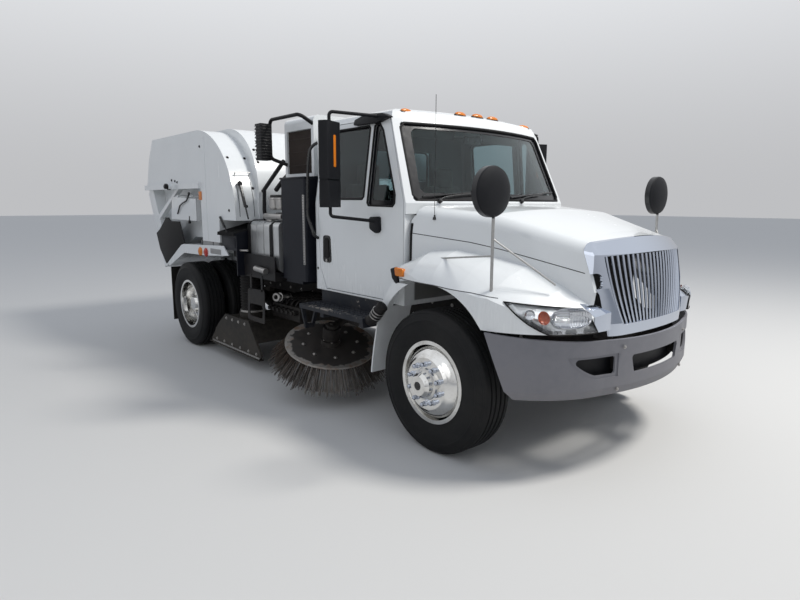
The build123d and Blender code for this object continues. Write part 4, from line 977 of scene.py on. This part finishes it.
main_place, _ = seen("headlamps", *MAIN_LAMP)
pair(main_bowl(main_place), "hood", reflector_silver, 60)
for name, pixel, scale, tall, material in (
    ("Turn", (544.5, 318), 0.42, 1.2, turn_amber),
    ("Side", (530, 315), 0.36, 1.0, reflector_silver),
):
    place, out = seen("headlamps", *pixel)
    axis = (LAMP_OUT + out).normalized()
    bowl = lathe(name + "_bowl", [(r * scale, h * scale) for r, h in SMALL_BOWL], ORIGIN, axis, 36)
    bowl.scale = (1, 1, tall)
    bowl.location = place - axis * 0.012
    pair(bowl, "hood", material, 60)
rim_middle = sum(rim_points, Vector()) / len(rim_points)
ribs, walked = [], 0.0
for here, after in zip(rim_points, rim_points[1:] + rim_points[:1]):
    length = (after - here).length
    while walked < length:
        foot = here.lerp(after, walked / length)
        walked += RIB_PITCH
        if foot.z < rim_middle.z - 0.012 and (foot - rim_middle).dot(LAMP_ALONG) > -0.06:
            ends = [foot.lerp(rim_middle, share) - LAMP_OUT * 0.012 for share in (0.05, 0.26)]
            ribs.append(pipe("Rib", ends, 0.002))
    walked -= length
pair(joined("Lamp_ribs", ribs), "hood", joint_and_shade_dark)


def ribbon(name, points, width, thickness):
    """A strap laid along a line of points, with its width as a vector."""
    piece = outline(name, points, False)
    last = len(points) - 1
    for part in (*piece.data.vertices, *piece.data.edges):
        part.select = False
    for corner in (0, last):
        piece.data.vertices[corner].select = True
    for edge in piece.data.edges:
        edge.select = set(edge.vertices) == {0, last}
    bpy.ops.object.mode_set(mode="EDIT")
    bpy.ops.mesh.delete(type="EDGE")
    bpy.ops.object.mode_set(mode="OBJECT")
    facing_out(("extrude_region_move", {"TRANSFORM_OT_translate": {"value": tuple(width)}}))
    return step(piece, "SOLIDIFY", thickness=thickness, offset=0)


GUARD_FOOT, GUARD_TALL, GUARD_BACK = 0.655, 0.155, 0.075
guard_line = [hit("bumper", (4, -0.84 + 0.07 * part, 0.845), (-1, 0, 0))[0] for part in range(25)]
guard_line = [(place.x - GUARD_BACK, place.y, GUARD_FOOT) for place in guard_line]
fit(ribbon("Air_guard", guard_line, (0, 0, GUARD_TALL), 0.006), "chassis", plastic)

# The fender mirrors: convex glasses in round black shells on thin braced posts, so that the driver sees
# the kerb.
MIRROR_MIDDLE = Vector((2.76, -1.08, 1.842))
HEAD_RADIUS = 0.162
MIRROR_SHELL = [(0, -0.002), (0.158, -0.002), (0.153, 0.012), (0.12, 0.026), (0.06, 0.034), (0, 0.036)]
CONVEX_GLASS = [(0, -0.002), (0.148, -0.002), (0.146, 0.002), (0.1, 0.008), (0.05, 0.011), (0, 0.012)]


def mirror_finish():
    """Black round the mirror's head, and bright steel on its post and braces."""
    material, shader, place = new_finish("MirrorPost")
    y, z = place.axis(1).size() + MIRROR_MIDDLE.y, place.axis(2) - MIRROR_MIDDLE.z
    square = y * y + z * z
    head = square.between(HEAD_RADIUS ** 2 * 1.06, HEAD_RADIUS ** 2)
    fine = place.noise(60, 4)
    steel = fine.mix((0.5, 0.5, 0.49, 1), (0.3, 0.29, 0.28, 1))
    place.feed(shader, "Base Color", head.mix(steel, (0.01, 0.01, 0.012, 1)))
    place.feed(shader, "Metallic", (1 - head) * 0.8)
    place.feed(shader, "Roughness", fine * 0.2 + 0.25)
    return material


dress("fender_mirrors", mirror_finish())
for name, profile, x, way, material in (
    ("Convex_shell", MIRROR_SHELL, 2.779, 1, plastic),
    ("Convex_glass", CONVEX_GLASS, 2.741, -1, mirror_glass),
):
    turned = lathe(name, profile, (x, -1.08, 1.842), (way, 0, 0), 40)
    pair(turned, "hood", material)

# The gutter brooms: a round steel plate worn bright at its rim, carried on a hydraulic motor, with
# bundles of flat spring-steel bristles that fan outwards to the ground. Rust and road film stain the
# plate.
BROOM_MIDDLE = Vector((0.79, -0.96, 0.5))
BROOM_AXIS = Vector((0.32, -0.11, 1)).normalized()
TUFTS = 54
STRANDS = 17
BRISTLE_ROOT, BRISTLE_TIP = (0.318, 0.404), (0.45, 0.588)
BRISTLE_DROP = 0.2


def broom_finish():
    """Black plate worn bright towards its rim, with rust and road film in patches."""
    material, shader, place = new_finish("BroomPlate")
    x, y = place.axis(0) - BROOM_MIDDLE.x, place.axis(1).size() + BROOM_MIDDLE.y
    square = x * x * 1.1 + y * y
    radius = square.maths("SQRT", square)
    fine = place.noise(16, 6)
    patch = place.noise(5, 4)
    rim = radius.between(0.394, 0.404)
    worn = (radius.between(0.27, 0.4) * 0.55 + fine * 0.7 + patch * 0.35).between(0.92, 1.05)
    bright = worn.maths("MAXIMUM", worn, rim)
    rust = (patch * 0.7 + fine * 0.4).between(0.52, 0.7)
    metal = fine.mix((0.5, 0.49, 0.47, 1), (0.3, 0.27, 0.24, 1))
    stained = (rust * 0.6).mix(metal, (0.26, 0.12, 0.045, 1))
    film = fine.mix((0.014, 0.014, 0.015, 1), (0.05, 0.042, 0.035, 1))
    place.feed(shader, "Base Color", bright.mix(film, stained))
    place.feed(shader, "Metallic", bright * 0.8)
    place.feed(shader, "Roughness", fine * 0.35 + 0.3)
    roughen(shader, 0.3, 0.002, place.noise(70, 4))
    return material


def bristle_finish():
    """Dark spring steel, rusty in streaks and rubbed brighter at the tips."""
    material, shader, place = new_finish("BristleSteel", Metallic=0.4)
    fine = place.stretched(1, 1, 0.15).noise(70, 3)
    tip = place.axis(2).between(0.42, 0.28)
    colour = fine.between(0.3, 0.7).mix((0.02, 0.016, 0.014, 1), (0.075, 0.05, 0.034, 1))
    place.feed(shader, "Base Color", (tip * 0.5).mix(colour, (0.16, 0.15, 0.14, 1)))
    place.feed(shader, "Roughness", fine * 0.3 + 0.35)
    return material


broom_plate = broom_finish()
bristle = bristle_finish()
dress("broom_disc_left broom_disc_right", broom_plate)


def broom_point(radius, turn, height):
    """A place on the right-hand broom from its radius, turn and height above the plate's middle."""
    wide = BROOM_AXIS.orthogonal().normalized()
    out = Matrix.Rotation(turn, 3, BROOM_AXIS) @ wide
    return BROOM_MIDDLE + out * radius + BROOM_AXIS * height


strands = []
for _ in range(STRANDS * 3):
    root, share = random.uniform(*BRISTLE_ROOT), random.random()
    rank = (root - BRISTLE_ROOT[0]) / (BRISTLE_ROOT[1] - BRISTLE_ROOT[0])
    tip = BRISTLE_TIP[0] + (BRISTLE_TIP[1] - BRISTLE_TIP[0]) * (rank * 0.75 + share * 0.25)
    turn, twist = random.uniform(-0.04, 0.04), random.uniform(-0.035, 0.035)
    drop = -BRISTLE_DROP - 0.02 * random.random()
    middle = broom_point(root + (tip - root) * 0.38, turn + twist * 0.4, -0.1)
    ends = [broom_point(root, turn, -0.018), middle, broom_point(tip, turn + twist, drop)]
    strands.append(settle(pipe("Strand", ends, 0.0032, True, sides=0)))
spin_axis = Matrix.Translation(BROOM_MIDDLE)
tufts = []
for number in range(TUFTS):
    turned = spin_axis @ Matrix.Rotation(math.tau * number / TUFTS, 4, BROOM_AXIS) @ spin_axis.inverted()
    tufts += [copied(strand, turned) for strand in random.sample(strands, STRANDS)]
for strand in strands:
    bpy.data.objects.remove(strand)
pair(joined("Bristles", tufts), "gutter_broom_SIDE", bristle, 80)
for side in ("left", "right"):
    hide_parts("broom_bristles_" + side)
plate_bolts = [broom_point(0.25, math.tau * (n + 0.5) / 8, -0.008) for n in range(8)]
pair(bolts("Broom_bolts", plate_bolts, BROOM_AXIS, 0.013), "gutter_broom_SIDE", bare_steel)
hub_bolts = [broom_point(0.07, math.tau * n / 5, 0.035) for n in range(5)]
pair(bolts("Broom_hub_bolts", hub_bolts, BROOM_AXIS, 0.008), "gutter_broom_SIDE", bare_steel)
ring_profile = [(0.402, -0.024), (0.417, -0.024), (0.417, -0.006), (0.402, -0.006)]
broom_rim = lathe("Broom_rim", ring_profile, BROOM_MIDDLE, BROOM_AXIS, 72)
pair(broom_rim, "gutter_broom_SIDE", broom_plate)
motor_cap = [(0, 0.0), (0.062, 0.0), (0.062, 0.02), (0.05, 0.028), (0.02, 0.028), (0.02, 0.044), (0, 0.044)]
cap_piece = lathe("Motor_cap", motor_cap, broom_point(0, 0, 0.163), BROOM_AXIS, 6)
step(cap_piece, "BEVEL", width=0.003, segments=2)
pair(cap_piece, "broom_arm_SIDE", cast_black)

# The pick-up head and its suction hoses: a welded steel box that slides on wearing skids, bolted side
# plates, and two ribbed rubber hoses of spiral wire that lead the dust up to the ducts, each held by a band
# clamp at its foot.
head_black = dull_finish("HeadBlack", (0.012, 0.0115, 0.011, 1), 0.5, 0.26, 0.3, 120, 0.15, 0.9)
dress("pickup_head", head_black)
HOSE_PLACE = (-0.76, -0.95)
HOSE_LOW, HOSE_HIGH, HOSE_PITCH = 0.562, 1.178, 0.031
HOSE_OUT, HOSE_NECK, HOSE_BORE = 0.133, 0.119, 0.112
hose_profile = [(HOSE_BORE, HOSE_LOW), (HOSE_NECK, HOSE_LOW)]
height = HOSE_LOW
while height < HOSE_HIGH - 0.02:
    hose_profile += [(HOSE_NECK, height + 0.003), (HOSE_OUT - 0.002, height + 0.009)]
    hose_profile += [(HOSE_OUT, height + 0.0135), (HOSE_OUT - 0.002, height + 0.018)]
    hose_profile.append((HOSE_NECK, height + 0.024))
    height += HOSE_PITCH
hose_profile += [(HOSE_NECK, HOSE_HIGH), (HOSE_BORE, HOSE_HIGH)]
for side, hand in (("right", 1), ("left", -1)):
    hose_foot = (HOSE_PLACE[0], HOSE_PLACE[1] * hand, 0)
    hose = lathe("Suction_hose_" + side, hose_profile, hose_foot, UP, 40)
    fit(hose, "pickup_head", rubber)
    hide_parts("suction_hoses")
clamp = [(0.131, -0.011), (0.138, -0.011), (0.138, 0.011), (0.131, 0.011)]
clamp_spot = (*HOSE_PLACE, 0.585)
pair(lathe("Lower_clamp", clamp, clamp_spot, UP, 40), "pickup_head", bare_steel)
head_bolts = [(x, -1.152, 0.475) for x in (-1.02, -0.87, -0.72, -0.57)]
head_bolts += [(x, -1.152, 0.19) for x in (-1.3, -1.1, -0.9, -0.7, -0.5, -0.32)]
pair(bolts("Head_bolts", head_bolts, OUTWARD, 0.012), "pickup_head", bare_steel)
lip = [(-1.40, -1.153, 0.15), (-0.24, -1.153, 0.15), (-0.235, -1.153, 0.168), (-1.405, -1.153, 0.168)]
pair(plate("Skid_lip", lip, (0, -0.014, 0), 0.002), "pickup_head", bare_steel)

# The cab steps: a bent tread plate on a riser and hanger under each door, black, and scuffed through to
# the metal where boots land. A rubber elbow with three band clamps passes between the step and the wheel
# arch.


def step_finish():
    """Black paint, scuffed to the metal on top where boots land, with dust."""
    material, shader, place = new_finish("StepBlack", Specular_IOR_Level=DULL)
    fine = place.noise(38, 6)
    patch = place.noise(6, 4)
    top = place.axis(2).between(0.862, 0.874)
    edge = place.axis(1).size().between(1.08, 1.19)
    span = (place.axis(0) - 1.12).size().between(0.5, 0.1)
    worn = (fine * 0.8 + patch * 0.5 + edge * 0.14 + span * 0.12).between(0.9, 1.0) * top * 0.8
    dust = (patch * 0.6 + fine * 0.5).between(0.45, 0.8) * 0.35
    base = dust.mix((0.016, 0.019, 0.026, 1), (0.09, 0.08, 0.07, 1))
    place.feed(shader, "Base Color", worn.mix(base, (0.42, 0.38, 0.34, 1)))
    place.feed(shader, "Metallic", worn * 0.7)
    place.feed(shader, "Roughness", fine * 0.3 + 0.32)
    return material


step_black = step_finish()
dress("cab_steps", step_black)
tread_spots = [(0.72 + 0.075 * x, -1.035 - 0.055 * y, 0.875) for x in range(12) for y in range(3)]
grip_profile = [(0.011, -0.001), (0.02, -0.001), (0.018, 0.0035), (0.013, 0.0035)]
grip = lathe("Grip", grip_profile, ORIGIN, UP, 10)
grips = repeated("Tread_grips", grip, [Matrix.Translation(spot) for spot in tread_spots])
pair(grips, "chassis", step_black)
ELBOW = (
    (1.60, -1.13, 0.858), (1.665, -1.168, 0.868), (1.715, -1.172, 0.905), (1.775, -1.168, 0.975),
    (1.80, -1.16, 1.0),
)
pair(pipe("Elbow", ELBOW, 0.044, True, sides=6), "chassis", rubber)
RING = [(0.045, -0.004), (0.05, -0.004), (0.05, 0.004), (0.045, 0.004)]
RING_SPOTS = ((1.722, 0.914), (1.741, 0.936), (1.76, 0.958))
elbow_rings = [lathe("Ring", RING, spot, (0.65, 0, 0.76), 28) for spot in flat(RING_SPOTS, -1.1705)]
pair(joined("Elbow_clamps", elbow_rings), "chassis", bare_steel)
sill = block("Sill_strip", (0.70, -1.003, 0.992), (1.66, -0.985, 1.006), 0.004)
pair(sill, "chassis", white)

# The side tanks: a tall moulded water tank in dark plastic with a steel level scale on its corner, and on
# the kerb side a ribbed alloy fuel tank held down by two black straps over rubber, on a black bracket.
tank_black = dull_finish("TankBlack", (0.006, 0.0075, 0.0135, 1), 0.42, 0.03, 0.12, 300)
dress("water_tanks", tank_black)
tank_silver = worked_finish(
    "TankAlloy", (0.66, 0.67, 0.67, 1), 0.3, 0.1, 0.15, 40, 0.9, 1.7, 0.8, Metallic=0.75,
)
dress("fuel_tank", tank_silver)
scale_strip = block("Level_scale", (0.505, -1.058, 1.20), (0.533, -1.048, 1.84), 0.001)
pair(scale_strip, "chassis", bare_steel)
scale_holes = [(0.519, -1.059, 1.215 + 0.0245 * number) for number in range(26)]
hole_profile = [(0, -0.001), (0.0055, -0.001), (0.0055, 0.0006), (0, 0.0006)]
hole = lathe("Hole", hole_profile, ORIGIN, OUTWARD, 10)
holes = repeated("Scale_marks", hole, [Matrix.Translation(spot) for spot in scale_holes])
pair(holes, "chassis", gloss_black)
tank_rim = block("Tank_rim", (0.093, -1.056, 1.984), (0.552, -0.634, 2.004), 0.006)
pair(tank_rim, "chassis", tank_black)


TANK_TOP = 1.56
STRAP_LIFT = 0.006


def strap_path(x):
    """Points close over the fuel tank's top and outer side."""
    line = [hit("fuel_tank", (x, y, 2.2), (0, 0, -1)) for y in (-0.72, -0.82, -0.92, -1.0)]
    line += [hit("fuel_tank", (x, -2, z), (0, 1, 0)) for z in (1.54, 1.5, 1.42, 1.3, 1.25, 1.2)]
    return [place + out * STRAP_LIFT for place, out in line]


def over_rubber(place):
    """A strap's place moved off its rubber, upwards on the tank's top and outwards on its side."""
    on_top = place.z >= TANK_TOP
    return place + Vector((STRAP_LIFT, 0 if on_top else -STRAP_LIFT, STRAP_LIFT if on_top else 0))


for name, x in (("Rear_strap", -0.579), ("Front_strap", -0.109)):
    under = ribbon(name + "_rubber", strap_path(x - 0.002), (0.052, 0, 0), 0.008)
    fit(under, "chassis", rubber)
    over = ribbon(name, [over_rubber(place) for place in strap_path(x)], (0.036, 0, 0), 0.004)
    fit(over, "chassis", gloss_black)
filler = [(0, 0), (0.05, 0), (0.05, 0.02), (0.058, 0.022), (0.058, 0.05), (0.048, 0.058), (0, 0.058)]
fit(lathe("Fuel_cap", filler, (-0.315, -0.93, 1.575), UP, 24), "chassis", bare_steel)

# The side box and what stands over the tanks: a black locker with a ribbed rubber lid, two fuel filters
# with bright bowls and a pipe beneath them, and black prop bars to the machine behind.
dress("side_box", tank_black)
LID_LOW, LID_HIGH = (-1.226, 1.446), (-0.735, 1.566)
ribs = []
for number in range(12):
    x = -0.97 + number * 0.0345
    line = [(x, LID_LOW[0], LID_LOW[1] - 0.028), (x, *LID_LOW), (x, *LID_HIGH)]
    ribs.append(pipe("Rib", line, 0.0105))
fit(joined("Lid_ribs", ribs), "chassis", rubber)
panel = rounded([(-0.93, 1.29), (-0.63, 1.29), (-0.63, 1.40), (-0.93, 1.40)], 0.01)
locker_panel = plate("Locker_panel", flat(panel, -1.19), (0, -0.004, 0), 0.0015)
fit(locker_panel, "chassis", tank_black)
can = [
    (0, 0), (0.03, 0), (0.045, 0.012), (0.052, 0.03), (0.052, 0.1), (0.058, 0.104), (0.058, 0.122),
    (0, 0.122),
]
bowls = [lathe("Bowl", can, (x, -0.98, 1.695), UP, 28) for x in (-0.15, -0.02)]
cross_pipe = [(0, -0.18), (0.028, -0.18), (0.03, -0.15), (0.03, 0.15), (0.028, 0.18), (0, 0.18)]
bowls.append(lathe("Pipe", cross_pipe, (-0.13, -1.0, 1.632), (1, 0, 0), 24))
fit(joined("Fuel_filters", bowls), "chassis", bare_steel)
bracket = joined("Filter_bracket", [
    block("Bar", (-0.22, -0.99, 1.815), (0.06, -0.92, 1.845), 0.005),
    block("Leg", (-0.09, -0.90, 1.55), (-0.05, -0.87, 1.845), 0.004),
    block("Foot", (-0.09, -1.0, 1.655), (-0.05, -0.88, 1.67), 0.003),
])
fit(bracket, "chassis", chassis_black)
props = [
    pipe("Prop", [(-0.03, -0.93, 2.17), (-0.53, -0.9, 1.885)], 0.021),
    pipe("Prop", [(0.02, -0.86, 2.09), (-0.16, -0.88, 1.975), (-0.27, -0.89, 1.895)], 0.024),
    pipe("Prop", [(-0.50, -0.9, 1.9), (-0.515, -0.9, 1.70), (-0.5, -0.9, 1.575)], 0.02),
]
fit(joined("Prop_bars", props), "chassis", chassis_black)
locker_rod = pipe("Locker_rod", [(-0.655, -1.17, 1.267), (-0.509, -1.115, 1.27)], 0.012)
fit(locker_rod, "chassis", bare_steel)
roller = pipe("Side_roller", [(-0.284, -1.142, 1.104), (-0.072, -1.142, 1.09)], 0.03, sides=6)
fit(roller, "chassis", bare_steel)
coupling_profile = [
    (0.024, -0.16), (0.034, -0.16), (0.034, 0.0), (0.046, 0.004), (0.046, 0.03), (0.036, 0.034),
    (0.036, 0.05), (0.046, 0.054), (0.046, 0.082), (0.04, 0.088), (0.024, 0.088),
]
coupling = lathe("Coupling", coupling_profile, (-0.168, -0.93, 0.801), (0.45, -0.88, 0.1), 24)
fit(coupling, "chassis", bare_steel)
guard_out = rounded([(-0.56, 0.53), (-0.18, 0.53), (-0.165, 0.885), (-0.535, 0.87)], 0.03)
guard_in = rounded([(-0.505, 0.58), (-0.225, 0.58), (-0.215, 0.72), (-0.50, 0.715)], 0.03)
guard = band("Hose_guard", flat(guard_out, -1.112), flat(guard_in, -1.112), 0.008)
guard_legs = [block("Leg", (x, -1.116, 0.86), (x + 0.04, -1.108, 1.03), 0.002) for x in (-0.48, -0.24)]
fit(joined("Hose_guard", [guard, *guard_legs]), "chassis", chassis_black)
VALVE_LOW, VALVE_HIGH = Vector((-0.44, -0.88, 0.56)), Vector((0.12, -0.64, 0.71))
valves = [block("Body", VALVE_LOW, VALVE_HIGH, 0.008)]
coil = [(0, 0), (0.028, 0), (0.028, 0.05), (0.02, 0.054), (0.02, 0.075), (0, 0.075)]
for number in range(6):
    x = VALVE_LOW.x + 0.05 + 0.092 * number
    valves.append(lathe("Coil", coil, (x, VALVE_LOW.y, 0.66), OUTWARD, 20))
    line = [(x, -0.84, 0.7), (x, -0.82, 0.76), (x + 0.03, -0.7, 0.79), (x + 0.03, -0.44, 0.79)]
    valves.append(pipe("Line", line, 0.011, True))
valves += [block("Hanger", (x, -0.66, 0.70), (x + 0.06, -0.42, 0.745), 0.004) for x in (-0.4, 0.02)]
fit(joined("Valve_block", valves), "chassis", chassis_black)

# The auxiliary engine's cowl and lamp frame: a white sheet cap over a dark radiator screen of close
# upright fins with crossing wires, and on the bent black tube a finned work lamp.
screen_brown = worked_finish("ScreenBrown", (0.05, 0.036, 0.03, 1), 0.6, 0.4)
fin = block("Fin", (-0.0011, -0.913, 2.046), (0.0011, -0.9, 2.434), 0.0004)
fin_moves = [Matrix.Translation((0.052 + number * 0.0072, 0, 0)) for number in range(60)]
fins = repeated("Screen_fins", fin, fin_moves)
pair(fins, "chassis", screen_brown)
wires = [pipe("Wire", [(0.047, -0.9155, z), (0.478, -0.9155, z)], 0.0022) for z in (2.12, 2.24, 2.36)]
pair(joined("Screen_wires", wires), "chassis", screen_brown)
backing = block("Screen_back", (0.046, -0.9075, 2.042), (0.479, -0.9045, 2.438), 0.001)
pair(backing, "chassis", frit)
fin_heights = [2.19 + 0.027 * number for number in range(12)]
lamp_fins = [block("Fin", (-0.125, -1.186, z), (0.0, -1.064, z + 0.006), 0.0015) for z in fin_heights]
fit(joined("Work_lamp_fins", lamp_fins), "chassis", gloss_black)
lamp_glass = block("Work_lamp_glass", (-0.124, -1.168, 2.185), (-0.119, -1.082, 2.495), 0.002)
fit(lamp_glass, "chassis", silver)

# The hopper: a white sheet-steel body with flanged bands, a ledge with the door's black pivot pin, a
# diagonal arm, and an inspection lid that stands proud of a recess, with a bent handle. A black rubber
# flap hangs below it.
HOPPER_BOLT_SPOTS = (
    (227.3, 157.4), (244.4, 158.4), (253.6, 149.8), (258, 162.2), (252.9, 188.3), (229.2, 210.5),
    (246.6, 206.4), (199.4, 146.5), (171.7, 180.3), (175, 181.2), (177.2, 182.3),
)


def beside(across, down, y):
    """The place at a distance from the truck's middle plane that lies behind a point of the photograph."""
    ray = sight(across, down)
    return Vector(EYE_PLACE) + ray * ((y - EYE_PLACE[1]) / ray.y)


heads = []
for spot in HOPPER_BOLT_SPOTS:
    place, out = seen("hopper_shell", *spot)
    heads.append(bolts("Head", [place], out, 0.011))
pair(joined("Hopper_bolts", heads), "hopper", chassis_black)
fold = block("Side_fold", (-1.316, -1.204, 1.345), (-1.296, -1.198, 2.49), 0.0025)
pair(fold, "hopper", white)
reflector_ring = rounded([(-1.505, 1.794), (-1.428, 1.794), (-1.428, 1.892), (-1.505, 1.892)], 0.008)
reflector = plate("Side_reflector", flat(reflector_ring, -1.199), (0, -0.009, 0), 0.002)
pair(reflector, "hopper", amber)
LID = ((-2.405, 1.835), (-1.637, 1.808), (-1.645, 1.55), (-2.453, 1.554))
lid_face = plate("Lid_face", flat(rounded(LID, 0.012), -1.178), (0, -0.014, 0), 0.003)
lid_flange = band("Lid_flange", flat(shrunk(LID, 0.004), -1.165), flat(shrunk(LID, 0.008), -1.165), 0.03)
hinges = [pipe("Hinge", [(x, -1.175, 1.838), (x + 0.09, -1.175, 1.835)], 0.011) for x in (-2.3, -1.86)]
arms = [block("Arm", (x, -1.175, 1.845), (x + 0.05, -1.02, 1.858), 0.003) for x in (-2.28, -1.84)]
lid_end = [(-1.64, -1.17, 1.55), (-1.64, -1.17, 1.81), (-1.64, -1.02, 1.81), (-1.64, -1.02, 1.60)]
lid_side = plate("Lid_side", lid_end, (-0.004, 0, 0), 0.001)
lid = joined("Inspection_lid", [lid_face, lid_flange, lid_side, *hinges, *arms])
pair(lid, "hopper", white)
HANDLE = (
    (188.9, 193.5, -1.2), (188.2, 196.5, -1.205), (186.4, 200.7, -1.212), (182.5, 203.2, -1.212),
    (179.9, 205.6, -1.212), (177.7, 213.7, -1.205),
)
handle_line = [beside(*spot) for spot in HANDLE]
ball_profile = [(0, -0.014), (0.012, -0.01), (0.018, 0), (0.012, 0.012), (0, 0.016)]
handle_ball = lathe("Ball", ball_profile, handle_line[0], OUTWARD, 16)
handle = joined("Lid_handle", [pipe("Rod", handle_line, 0.009), handle_ball])
pair(handle, "hopper", gloss_black)
eye_profile = [(0, -0.012), (0.02, -0.012), (0.02, 0.008), (0.012, 0.014), (0, 0.014)]
latch = [pipe("Hook", [beside(189.4, 216.2, -1.196), beside(189.2, 221.6, -1.2)], 0.005)]
latch.append(lathe("Eye", eye_profile, beside(189.4, 222.0, -1.19), OUTWARD, 16))
pair(joined("Lid_latch", latch), "hopper", gloss_black)
FLAP_OUTLINE = (
    (157.2, 233), (160.5, 229), (166.5, 217.5), (169, 217.5), (172, 221), (180.5, 221.5), (185.2, 242.5),
    (176, 253), (167.2, 263.5), (161, 249),
)
FLAP_PLACE = -1.178
hanging = plate("Rubber_flap", [beside(*spot, FLAP_PLACE) for spot in FLAP_OUTLINE], (0, -0.01, 0), 0.003)
pair(hanging, "hopper", rubber)
pivot_turn = (0, math.radians(14), 0)
pivot = block("Pivot_knuckle", (-2.40, -1.285, 1.93), (-2.27, -1.238, 1.985), 0.012, pivot_turn)
pin_profile = [(0, 0), (0.03, 0), (0.03, 0.05), (0.02, 0.058), (0, 0.058)]
pivot_pin = lathe("Pin", pin_profile, (-2.291, -1.262, 1.957), OUTWARD, 20)
pair(joined("Door_pivot", [pivot, pivot_pin]), "hopper", chassis_black)


def down_front(y, low, high, count=14):
    """Points down the hopper's front face at a distance from the middle plane."""
    heights = [high + (low - high) * number / (count - 1) for number in range(count)]
    return [hit("hopper_shell", (1, y, z), (-1, 0, 0))[0] for z in heights]


panel_lines = [pipe("Line", down_front(y, 1.62, 2.05), 0.003) for y in (-1.150, -0.985)]
pair(joined("Front_panel_joints", panel_lines), "hopper", joint_and_shade_dark)
top_left, top_right = down_front(-1.150, 1.9, 2.05)[0], down_front(-0.985, 1.9, 2.05)[0]
stand_off = Vector((0.03, 0, 0.03))
rod = [top_left, top_left + stand_off, top_right + stand_off, top_right]
pair(pipe("Front_panel_rod", rod, 0.006), "hopper", bare_steel)
stay_top, stay_foot = Vector((-0.605, -1.125, 1.962)), Vector((-0.44, -1.125, 1.60))
stay_ball = [(0, -0.028), (0.02, -0.02), (0.03, 0), (0.02, 0.02), (0, 0.028)]
stay_bits = [
    pipe("Tube", [stay_top, stay_top.lerp(stay_foot, 0.66)], 0.016),
    pipe("Rod", [stay_top, stay_foot], 0.008),
    lathe("Ball", stay_ball, stay_top, (0, 1, 0), 20),
]
pair(joined("Hatch_stay", stay_bits), "hopper", gloss_black)
short_stay = [pipe("Tube", [(-0.935, -1.212, 1.612), (-0.83, -1.212, 1.505)], 0.013)]
short_stay.append(pipe("Rod", [(-0.935, -1.212, 1.612), (-0.775, -1.212, 1.455)], 0.007))
fit(joined("Lid_stay", short_stay), "chassis", gloss_black)

# The rear fenders and tail: white sheet over the twin wheels, with an amber and a red lamp, a plain grey
# plate and small lamp boxes on top, black flaps behind the wheels, and a lamp bar across the frame's
# tail.
red_lens = worked_finish("RedLens", (0.45, 0.02, 0.012, 1), 0.2, 0.05, 0.5, 160)
LAMP_DOME = [
    (0, -0.002), (0.052, -0.002), (0.052, 0.006), (0.046, 0.009), (0.044, 0.012), (0.03, 0.02),
    (0, 0.024),
]
for name, x, material in (("Fender_amber_lamp", -1.535, amber), ("Fender_red_lamp", -1.372, red_lens)):
    pair(lathe(name, LAMP_DOME, (x, -1.205, 1.2), OUTWARD, 28), "chassis", material)
grey_plain = worked_finish("PlainGrey", (0.3, 0.3, 0.3, 1), 0.5, 0.2)
plate_ring = rounded([(-1.243, 1.197), (-0.966, 1.197), (-0.966, 1.254), (-1.243, 1.254)], 0.006)
small_plate = plate("Fender_plate", flat(plate_ring, -1.204), (0, -0.004, 0), 0.001)
pair(small_plate, "chassis", grey_plain)
boxes = [
    block("Box", (-1.49, -1.19, 1.272), (-1.215, -1.135, 1.345), 0.006),
    block("Box", (-1.185, -1.19, 1.285), (-1.05, -1.14, 1.342), 0.006),
]
pair(joined("Fender_boxes", boxes), "chassis", grey_plain)
switch = block("Fender_switch", (-1.55, -1.188, 1.27), (-1.495, -1.14, 1.335), 0.005)
pair(switch, "chassis", gloss_black)
dress("light_bar", chassis_black)
for name, y, material in (("Tail_lamp", -0.34, red_lens), ("Turn_tail_lamp", -0.5, amber)):
    face = block(name, (-2.6405, y - 0.057, 0.658), (-2.634, y + 0.057, 0.712), 0.003)
    pair(face, "chassis", material)
